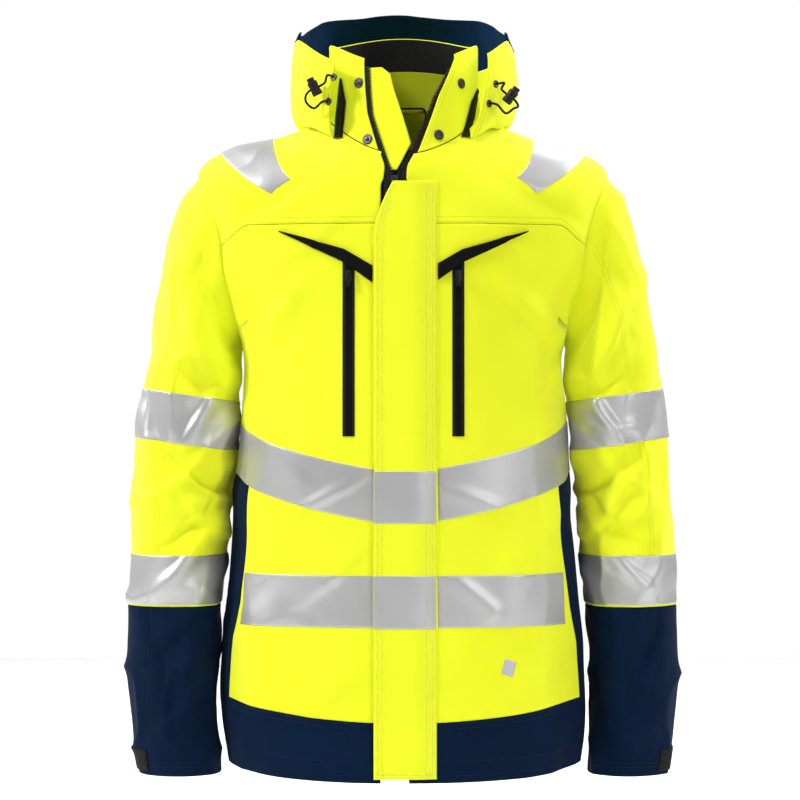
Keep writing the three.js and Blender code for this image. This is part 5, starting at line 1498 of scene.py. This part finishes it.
def sleeve_shape(side):
    def point(s, u):
        turn = 2 * math.pi * s
        hole = body_shape(
            SIDE - math.radians(22.8) * np.sin(turn),
            armhole_middle + (armhole_half - 0.01) * np.cos(turn),
        ) + (0.6, 0, 0)
        share = (1 + np.cos(turn)) / 2
        rings = [hole]
        for outer_x, outer_z, in_x, in_z, depth, middle in SLEEVE_RINGS:
            ring = (mix(in_x, outer_x, share), middle - depth * np.sin(turn), mix(in_z, outer_z, share))
            rings.append(np.stack(np.broadcast_arrays(*ring), -1))
        rings = np.stack(rings)
        last = SLEEVE_LAST
        i = np.clip(np.floor(u).astype(int), 0, last - 1)
        f = (u - i)[..., None]
        rows, columns = np.indices(u.shape)
        before, start, end, after = (rings[np.clip(i + k, 0, last), rows, columns] for k in (-1, 0, 1, 2))
        p = 0.5 * (
            2 * start
            + (end - before) * f
            + (2 * before - 5 * start + 4 * end - after) * f * f
            + (3 * start - before - 3 * end + after) * f**3
        )
        return p * (side, 1, 1)

    return point


# Sleeve folds, seen from the front: start and end as distance out from the middle and height
SLEEVE_CREASES = [
    ((244, -176), (204, -262), 10, -6),
    ((262, -200), (222, -300), 10, 6.5),
    ((286, -210), (262, -310), 14, -4),
    ((206, -296), (256, -372), 9, 5.5),
    ((252, -296), (204, -334), 8, -5),
    ((238, -130), (266, -230), 13, -4.5),
    ((300, -320), (262, -420), 12, -5),
    ((268, -394), (204, -436), 8, -7),
    ((272, -404), (212, -486), 9, 7),
    ((222, -372), (300, -446), 10, 5),
    ((210, -430), (292, -500), 9, -5),
    ((216, -462), (290, -548), 10, 5),
    ((240, -560), (262, -700), 14, 4.5),
    ((298, -560), (280, -690), 12, -4.5),
    ((226, -640), (296, -720), 11, 3.6),
    ((222, -580), (300, -630), 11, -3.2),
]


def sleeve_folds(side, seed):
    def folds(s, u, p):
        z = p[..., 2]
        free = smooth((u - 0.05) / 0.9) * (0.45 + 0.55 * smooth((z - CUFF - 4) / 60))
        inner = (1 - np.cos(2 * math.pi * s)) / 2
        fold = 4.0 * noise(p * (1, 1, 0.42), 62, seed) + 1.6 * noise(p * (1, 1, 0.7), 30, seed + 2)
        fold = fold + 3.4 * ridges(p * (1, 1, 0.6), 56, seed + 6) - 1.2
        gather = np.exp(-(((z + 440) / 120) ** 2)) * (0.25 + 0.75 * inner)
        phase = 2 * math.pi * (z + 24 * np.sin(2 * math.pi * s)) / 44 + 2.2 * noise(p, 70, seed + 4)
        fold = fold + 1.5 * gather * np.sin(phase)
        mirrored = bent(p * (side, 1, 1))
        front = smooth((-p[..., 1] + 16) / 30)
        for start, end, width, depth in SLEEVE_CREASES:
            fold = fold + depth * front * crease(mirrored, start, end, width, 1.0)
            fold = fold - 0.8 * depth * (1 - front) * crease(mirrored, start, end, width * 1.2, 1.0)
        return np.clip(1.25 * fold, -10, 8.5) * free

    return folds


class Sleeve(Cloth):
    """A sleeve's cloth; its normals are turned out on both sides."""

    def __init__(self, side, seed):
        self.side = side
        super().__init__(
            sleeve_shape(side), sleeve_folds(side, seed), (0, 1), (0, SLEEVE_LAST), (320, 460), True
        )

    def normals(self, grid):
        return super().normals(grid) * self.side


sleeve_cloths = {}
sleeve_base = sleeve_shape(1)


def sleeve_row(s, z):
    """Ring coordinate where the sleeve's side at s reaches a height."""
    s, z = np.broadcast_arrays(np.asarray(s, float), np.asarray(z, float))
    low, high = np.zeros(s.shape), np.full(s.shape, float(SLEEVE_LAST))
    for _ in range(30):
        u = (low + high) / 2
        above = sleeve_base(np.atleast_2d(s), np.atleast_2d(u))[..., 2].reshape(s.shape) > z
        low, high = np.where(above, u, low), np.where(above, high, u)
    return (low + high) / 2


def rows_around(u_from, u_to, rows, columns=150, edge=0.0):
    s = np.linspace(0, 1, columns, endpoint=False)
    t = even(rows, edge)[:, None]
    start = u_from(s) if callable(u_from) else np.full(columns, float(u_from))
    end = u_to(s) if callable(u_to) else np.full(columns, float(u_to))
    u = mix(start[None], end[None], t)
    return np.stack((np.broadcast_to(s, u.shape), u), -1)


SEAM_ROW = float(sleeve_row(0.0, FOREARM_SEAM))
FRONT_SEAM = [(0, 0.245), (1.0, 0.235), (2.5, 0.215), (4, 0.185), (8, 0.17)]


def shoulder_blend(piece):
    """Bakes the piece's placement into its mesh; nothing is bent."""
    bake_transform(piece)


for side, hand, seed in ((1, "left", 21), (-1, "right", 34)):
    cloth = sleeve_cloths[side] = Sleeve(side, seed)
    upper = laid("upper_sleeve_" + hand, cloth, rows_around(0.0, SEAM_ROW, 190, edge=0.004), CLOTH_THICK,
        CLOTH_THICK, YELLOW,
                 None, ["sleeve_" + hand], wrap=True)
    shoulder_blend(upper)
    laid("lower_sleeve_" + hand, cloth, rows_around(SEAM_ROW + 0.006, SLEEVE_LAST, 74, edge=0.008),
        CLOTH_THICK, CLOTH_THICK,
         NAVY, "sleeve_" + hand, ["forearm_" + hand], wrap=True)
    laid("cuff_facing_" + hand, cloth, rows_around(SLEEVE_LAST - 0.75, SLEEVE_LAST - 0.02, 24, 120, 0.02),
        -1.2, 0.6, NAVY,
         "sleeve_" + hand, roll=0, wrap=True)

    film_rows = []
    for name, top, slope in (("upper", -310, 16), ("lower", -507, 0)):
        def edge_row(drop, top=top, slope=slope):
            return lambda s: sleeve_row(s, top - drop - slope * (1 - np.cos(2 * math.pi * s)) / 2)

        ab = rows_around(edge_row(0), edge_row(58), 18, 180, 0.03)
        laid(f"sleeve_reflective_tape_{name}_{hand}", cloth, ab, FILM_LIFT, FILM_THICK, FILM,
            "sleeve_" + hand,
             [f"sleeve_tape_{name}_{hand}"], roll=0.3, wrap=True)
        for share in (0.045, 0.955):
            line = mix(ab[0], ab[-1], share)
            film_rows.append((cloth, np.concatenate((line, line[:1] + (1, 0))), FILM_LIFT + 0.12))
    sew("sleeve_tape_stitches_" + hand, film_rows, THREAD_PALE, "sleeve_" + hand, 3.8)

    u = np.linspace(0.5, SEAM_ROW, 200)
    front = between(FRONT_SEAM, u)
    seam_runs = [(cloth, np.stack((front + d, u), -1), CLOTH_THICK + 0.12) for d in (-0.006, 0.006)]
    ring = np.linspace(0, 1, 160)
    seam_runs += [
        (cloth, np.stack((ring, np.full(160, SEAM_ROW - d)), -1), CLOTH_THICK + 0.12) for d in (0.045,
        0.13)
    ]
    thread = sew("sleeve_stitches_" + hand, seam_runs, THREAD_YELLOW, None)
    shoulder_blend(thread)
    u = np.linspace(SEAM_ROW + 0.03, SLEEVE_LAST - 0.02, 90)
    front = between(FRONT_SEAM, u)
    seam_runs = [(cloth, np.stack((front + d, u), -1), CLOTH_THICK + 0.12) for d in (-0.006, 0.006)]
    seam_runs += [
        (cloth, np.stack((ring, np.full(160, SLEEVE_LAST - d)), -1), CLOTH_THICK + 0.12) for d in (0.17,
        0.22)
    ]
    sew("forearm_stitches_" + hand, seam_runs, THREAD_NAVY, "sleeve_" + hand)

    # Cuff tab of hook-and-loop tape, sewn at the back and pressed down towards the front
    s, t = np.meshgrid(even(26, 0.03), even(12, 0.06))
    around = mix(-0.1, 0.13, s)
    low_row, high_row = sleeve_row(around[0], -761), sleeve_row(around[0], -735)
    ab = np.stack((around, mix(low_row[None], high_row[None], t)), -1)
    laid(
        "cuff_strap_" + hand, cloth, ab, CLOTH_THICK + 1.9, 1.2, HOOK, "cuff_tab_" + hand,
        ["cuff_tab_" + hand], roll=0.5
    )


# ---- Hood ----
# A hood zipped on below the collar: yellow sides that meet a navy crown, hanging
# open behind the neck. The black ends of its zip show beside the collar.
HOOD_ROWS = [
    (101, 124, 87, -50, 24, 34, 2),
    (122, 125, 150, -36, 8, -20, 2),
    (131, 126, 205, -6, 24, -8, 2.1),
    (133, 124, 222, 22, 56, 50, 2.1),
    (131, 120, 205, 44, 86, 112, 2.1),
    (123, 114, 160, 62, 108, 160, 2.1),
]
HOOD_EDGE_LEFT = np.radians([50, 40, 41, 44, 48, 51])
HOOD_EDGE_RIGHT = np.radians([57, 44, 40, 38, 37, 36])
CROWN_FROM = 76
hood_rings = ring_shape(HOOD_ROWS)


def hood_shape(phi, v):
    """The hood's rings, with a rounder arch along the back of the rim."""
    p = hood_rings(phi, v)
    side_share = np.sin(phi) ** 2
    rise = 12 * 6.75 * side_share**2 * (1 - side_share) + 6 * side_share
    p[..., 2] += rise * smooth((v - 3.4) / 1.4) * np.where(np.cos(phi) < 0, 1, side_share**4)
    return p




def hood_folds(phi, v, p):
    turn = np.minimum(phi, 2 * math.pi - phi)
    free = smooth((turn - math.radians(42)) / math.radians(38)) * smooth((v - 0.1) / 0.8)
    fold = 4.6 * noise(p * (1, 1, 0.8), 58, 11) + 1.8 * noise(p, 26, 13)
    drape = 3.2 * np.sin(11 * turn + 0.9 * v) * smooth((2.6 - v) / 1.8)
    return (np.clip(fold, -6, 6) + drape) * free * (0.55 + 0.45 * smooth((4.9 - v) / 0.8))


hood = Cloth(hood_shape, hood_folds, (0, 2 * math.pi), (0, 5), (480, 200), True)


def hood_edge(side, v):
    return through(HOOD_EDGE_LEFT if side > 0 else HOOD_EDGE_RIGHT, v)


def hood_blend(piece):
    """Bakes the piece's placement into its mesh; nothing is bent."""
    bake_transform(piece)


def crown_row(phi):
    turn = np.abs(phi - math.pi)
    reach = math.radians(180 - CROWN_FROM)
    return 4.5 - 0.95 * np.cos(np.minimum(1, turn / reach) * math.pi / 2) ** 0.8


def hood_top(phi):
    return crown_row(phi) - 0.012


s, t = np.meshgrid(even(170, 0.005), even(64, 0.01))
rough = mix(math.radians(50), math.radians(310), s)
v = t * hood_top(rough)
phi = mix(hood_edge(1, v), 2 * math.pi - hood_edge(-1, v), s)
ab = np.stack((phi, t * hood_top(phi)), -1)
hood_side = laid(
    "hood_sides", hood, ab, CLOTH_THICK, CLOTH_THICK, YELLOW, None, ["hood_shell"]
)
hood_blend(hood_side)
s, t = np.meshgrid(even(130, 0.006), even(26, 0.02))
phi = mix(math.radians(CROWN_FROM + 2), math.radians(358 - CROWN_FROM), s)
ab = np.stack((phi, mix(crown_row(phi), 5, t)), -1)
laid("hood_crown_panel", hood, ab, CLOTH_THICK, CLOTH_THICK, NAVY, "hood", ["hood_crown"])
ab = np.stack((phi, mix(crown_row(phi) + 0.03, 4.97, t)), -1)
laid("hood_crown_lining", hood, ab, -0.7, 0.5, NAVY_INSIDE, "hood", roll=0)

hood_runs = []
for share in (0.018, 0.075):
    for side in (1, -1):
        v = np.linspace(0.3, 4.4, 120)
        edge = side * (hood_edge(side, v) + share * 0.8 + 0.01)
        hood_runs.append((hood, np.stack((edge, v), -1), CLOTH_THICK + 0.12))
crown_phi = np.linspace(math.radians(CROWN_FROM + 3), math.radians(357 - CROWN_FROM), 260)
hood_runs.append((hood, np.stack((crown_phi, crown_row(crown_phi) - 0.05), -1), CLOTH_THICK + 0.12))
hood_blend(sew("hood_stitches", hood_runs, THREAD_YELLOW, None))
crown_runs = [(hood, np.stack((crown_phi, np.full(260, 4.86)), -1), CLOTH_THICK + 0.12),
              (hood, np.stack((crown_phi, crown_row(crown_phi) + 0.05), -1), CLOTH_THICK + 0.12)]
sew("crown_stitches", crown_runs, THREAD_NAVY, "hood")

HOOD_ZIP_EDGES = {
    "left": ([(-19, 66), (28, 78), (46, 86)], [(-19, 77), (46, 87.5)]),
    "right": ([(-19, 70), (25, 66), (54, 71)], [(-19, 81), (54, 72.5)]),
}
for side, hand in ((1, "left"), (-1, "right")):
    inner_edge, outer_edge = HOOD_ZIP_EDGES[hand]
    s, t = np.meshgrid(even(8, 0.1), even(40, 0.02))
    z = mix(inner_edge[0][0], inner_edge[-1][0], t)
    x = side * mix(between(inner_edge, z), between(outer_edge, z), s)
    laid(
        "hood_zip_end_" + hand, body, front_at(x, z), CLOTH_THICK + 2.4, 1.0, ZIP_TAPE,
        "root", ["hood_zip_" + hand], roll=0.3
    )
    z = np.linspace(inner_edge[0][0] + 2, inner_edge[-1][0] - 3, 60)
    line = front_at(side * (between(inner_edge, z) + 1.6), z)
    coil = copies(
        "hood_zip_coil_" + hand, block((2.4, 0.9, 1.1), 0.35, 1),
        run_frames(body, line, CLOTH_THICK + 2.9, 1.5), PLASTIC
    )
    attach(coil, "root")


# ---- Hood drawcords, eyelets and cord locks ----
# On each side an elastic cord leaves the hood by the upper eyelet, runs through a sprung lock and
# goes back in by the lower one: 95 mm of it shows on the left and 92 mm on the right.
CORD_DIAMETER = 2.8
EYELETS = {
    "left": (((107, -76.73, 46), (0.769, -0.637, 0.048)), ((99, -86.72, 22), (0.719, -0.695, -0.005))),
    "right": (((-80, -99.15, 51), (-0.504, -0.849, 0.159)), ((-86, -98.13, 23), (-0.598, -0.8, 0.041))),
}
CORD_ROUTES = {  # metres, from the upper eyelet to the lower one
    "left": [(0.1084, -0.1463, 0.0141), (0.1118, -0.1491, 0.0143), (0.1178, -0.1516, 0.0145),
    (0.1148, -0.1464, 0.0081),
             (0.1187, -0.1464, 0.004), (0.125, -0.1464, -0.001), (0.1313, -0.1464, -0.006),
             (0.1342, -0.1464, -0.0121),
             (0.129, -0.1484, -0.015), (0.12, -0.1524, -0.021), (0.1093, -0.1622, -0.0121),
             (0.1035, -0.1594, -0.01),
             (0.1003, -0.1564, -0.01)],
    "right": [(-0.0809, -0.1691, 0.0193), (-0.0831, -0.1728, 0.02), (-0.0881, -0.1762, 0.0206),
    (-0.0914, -0.1694, 0.0129),
              (-0.0959, -0.1694, 0.0096), (-0.103, -0.1694, 0.006), (-0.1101, -0.1694, 0.0024),
              (-0.1136, -0.1694, -0.0029),
              (-0.113, -0.1694, -0.01), (-0.104, -0.1694, -0.017), (-0.0951, -0.1747, -0.0106),
              (-0.0897, -0.1715, -0.0087),
              (-0.0871, -0.168, -0.0089)],
}
LOCKS = {
    "left": ((0.125, -0.14638, -0.001), (0.7828, 0, -0.6222), (0.6191, -0.0999, 0.7789)),
    "right": ((-0.103, -0.16938, 0.006), (-0.8869, 0, -0.4536), (-0.4530, -0.1007, 0.8858)),
}


def weighed(a, b, start, end, u):
    return ((end - u) * a + (u - start) * b) / (end - start)


def centripetal(points, per_leg=8):
    """A smooth curve through points, spaced by the square root of their distances."""
    p = np.array(points)
    p = np.concatenate(([2 * p[0] - p[1]], p, [2 * p[-1] - p[-2]]))
    made = []
    for k in range(1, len(p) - 2):
        q = p[k - 1 : k + 3]
        knots = np.concatenate(([0], np.cumsum(np.linalg.norm(np.diff(q, axis=0), axis=1) ** 0.5)))
        for u in np.linspace(knots[1], knots[2], per_leg, endpoint=False):
            first = [weighed(q[i], q[i + 1], knots[i], knots[i + 1], u) for i in (0, 1, 2)]
            second = [weighed(first[i], first[i + 1], knots[i], knots[i + 2], u) for i in (0, 1)]
            made.append(weighed(second[0], second[1], knots[1], knots[2], u))
    made.append(p[-2])
    return np.array(made)


BARREL = [(0, -8.5), (4.6, -8.5), (5.5, -8.1), (6.0, -7.1), (6.0, -3.2), (5.6, -2.9), (5.6, 2.9),
    (6.0, 3.2), (6.0, 7.5),
          (5.7, 8.2), (5.2, 8.5), (4.8, 8.2), (4.8, 4.5), (0, 4.5)]
BUTTON = [(0, 7.9), (4.3, 7.9), (4.4, 8.2), (4.4, 12.4), (4.1, 13.1), (3.4, 13.5), (0, 13.5)]
EYELET = [
    (1.75, 0), (4.4, 0), (4.6, 0.2), (4.6, 0.5), (4.2, 0.95), (3.6, 1.15), (2.6, 1.0), (1.9, 0.6),
    (1.75, 0)
]
for side, hand in ((1, "left"), (-1, "right")):
    route = centripetal(CORD_ROUTES[hand])
    curve = bpy.data.curves.new("drawcord_" + hand, "CURVE")
    curve.dimensions = "3D"
    curve.bevel_depth = CORD_DIAMETER / 2 * MM
    curve.bevel_resolution = 4
    curve.use_fill_caps = True
    spline = curve.splines.new("POLY")
    spline.points.add(len(route) - 1)
    for point, place in zip(spline.points, route):
        point.co = (*place, 1)
    curve.materials.append(WEBBING)
    drawcord = link(curve, "drawcord_" + hand)
    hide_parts("hood_cord_" + hand)
    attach(drawcord, "hood")

    centre, across, up = (Vector(k) for k in LOCKS[hand])
    across.normalize()
    up = (up - across * up.dot(across)).normalized()
    place = Matrix((across, up.cross(across), up)).transposed().to_4x4()
    place.translation = centre
    barrel = cut(turned(BARREL), moved(rod(CORD_DIAMETER / 2 + 0.35, 30), turn=math.pi / 2, axis="Y"))
    lock = fitting(
        barrel, "lock_barrel_" + hand, place, PLASTIC, "black_plastic", "hood", "cord_lock_" + hand
    )
    button = fitting(
        turned(BUTTON), "lock_button_" + hand, place, PLASTIC, "black_plastic",
        "cord_lock_button_" + hand, "cord_lock_button_" + hand
    )
    for row, (point, normal) in zip(("upper", "lower"), EYELETS[hand]):
        out = Vector(normal).normalized()
        right = Vector((0, 0, 1)).cross(out).normalized()
        place = Matrix((right, out.cross(right), out)).transposed().to_4x4()
        place.translation = Vector(np.array(point) * MM + NECK) + out * (CLOTH_THICK + 0.3) * MM
        fitting(
            turned(EYELET), f"eyelet_{row}_{hand}", place, PLATED, "gunmetal", "hood",
            f"hood_eyelet_{row}_{hand}"
        )


# ---- Hanger loop ----
# Folded webbing sewn into the neck seam at both ends; a coat hook bears on the underside of its top.
loop_low, loop_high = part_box("hanger_loop")
half, bend = (loop_high.x - loop_low.x) / 2 - 0.0009, 0.005
path = [(-half, loop_low.z), (-half, loop_high.z - 0.0009 - bend)]
path += [
    (-half + bend - bend * math.cos(a),
    loop_high.z - 0.0009 - bend + bend * math.sin(a)) for a in np.linspace(0.2, math.pi / 2, 7)
]
path += [(-x, z) for x, z in reversed(path)]
depth = np.linspace(loop_low.y + 0.0001, loop_high.y - 0.0001, 7)
points = np.array([[(x, y, z) for y in depth] for x, z in path])
tangent = np.gradient(points, axis=0)
out = np.cross(tangent, (0, 1, 0))
out /= -np.linalg.norm(out, axis=-1, keepdims=True)
out *= np.sign(
    (out * (0, 0, 1)).sum(-1, keepdims=True) + (out * (points - (0, 0, -0.02))).sum(-1,
    keepdims=True) * 40
)
loop = link(grid_mesh("hang_loop", points + out * 0.0008, out, WEBBING), "hang_loop")
thicken(loop, 1.6)
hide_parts("hanger_loop")
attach(loop, "root")


# ---- Seam stitching on the body ----
# Lines of lockstitch beside the yoke, armhole, hem, side strip and collar seams, in the colour of
# the cloth they hold down.
yellow_runs, navy_runs = [], []
on_cloth = CLOTH_THICK + 0.12
for side in (1, -1):
    for gap in (2.0, 7.5):
        phi = np.linspace(float(phi_at_x(36.0, 7.2)), float(SIDE - math.radians(24)), 120)
        yellow_runs.append((body, outward(side, seam_points(phi, yoke_z, gap)), on_cloth))
        row = np.linspace(ARMHOLE_ROWS[0] + 0.05, ARMHOLE_ROWS[1] - 0.05, 120)
        for to_back in (-1, 1):
            hole = armhole(row, to_back)
            hole[:, 0] += to_back * gap / 215
            yellow_runs.append((body, outward(side, hole), on_cloth))
        row = np.linspace(ARMHOLE_ROWS[1] + 0.05, NECK_ROW - 0.2, 60)
        shoulder = np.stack((np.full(60, SIDE + gap / 130), row), -1)
        yellow_runs.append((body, outward(side, shoulder), on_cloth))
        z = np.linspace(corner_z + 6, STRIP_TOP - 3, 90)
        navy_runs.append((body, outward(side, front_at(strip_edge_x(z) + gap, z)), on_cloth))
        phi = np.linspace(0.2, float(band_to), 90)
        navy_runs.append((body, outward(side, seam_points(phi, band_top, -gap)), on_cloth))
    phi = np.linspace(0.2, STRIP_BACK, 140)
    for rise in (9, 25):
        hem = body_shape(phi, np.zeros(140))[:, 2]
        navy_runs.append((body, outward(side, side_at(phi, hem + rise)), on_cloth))
phi = np.linspace(BACK_PHI, 2 * math.pi - BACK_PHI, 200)
hem = body_shape(phi, np.zeros(200))[:, 2]
for rise in (9, 25):
    navy_runs.append((body, side_at(phi, hem + rise), on_cloth))
for gap in (2.0, 7.5):
    navy_runs.append((body, side_at(phi, np.full(200, BACK_BAND - gap)), on_cloth))
v = np.linspace(12.3, 14.9, 60)
for side in (1, -1):
    for gap in (0.03, 0.095):
        yellow_runs.append((body, outward(side, np.stack((collar_edge(side, v) + gap, v), -1)), on_cloth))
top_row = np.array([14.9])
first_phi = float(collar_edge(1, top_row)[0]) + 0.03
last_phi = 2 * math.pi - float(collar_edge(-1, top_row)[0]) - 0.03
phi = np.linspace(first_phi, last_phi, 200)
yellow_runs.append((body, np.stack((phi, np.full(200, 14.87)), -1), on_cloth))
sew("yellow_seam_stitches", yellow_runs, THREAD_YELLOW, "root")
sew("navy_seam_stitches", navy_runs, THREAD_NAVY, "root")

# A plain reflective print low on the wearer's left front
s, t = np.meshgrid(even(10), even(10))
x = 120 + (s - 0.5) * 13 + (t - 0.5) * 5
z = -633 + (t - 0.5) * 17 - (s - 0.5) * 4
laid("plain_mark", body, front_at(x, z), CLOTH_THICK + 0.2, 0.15, FILM, "root", roll=0)
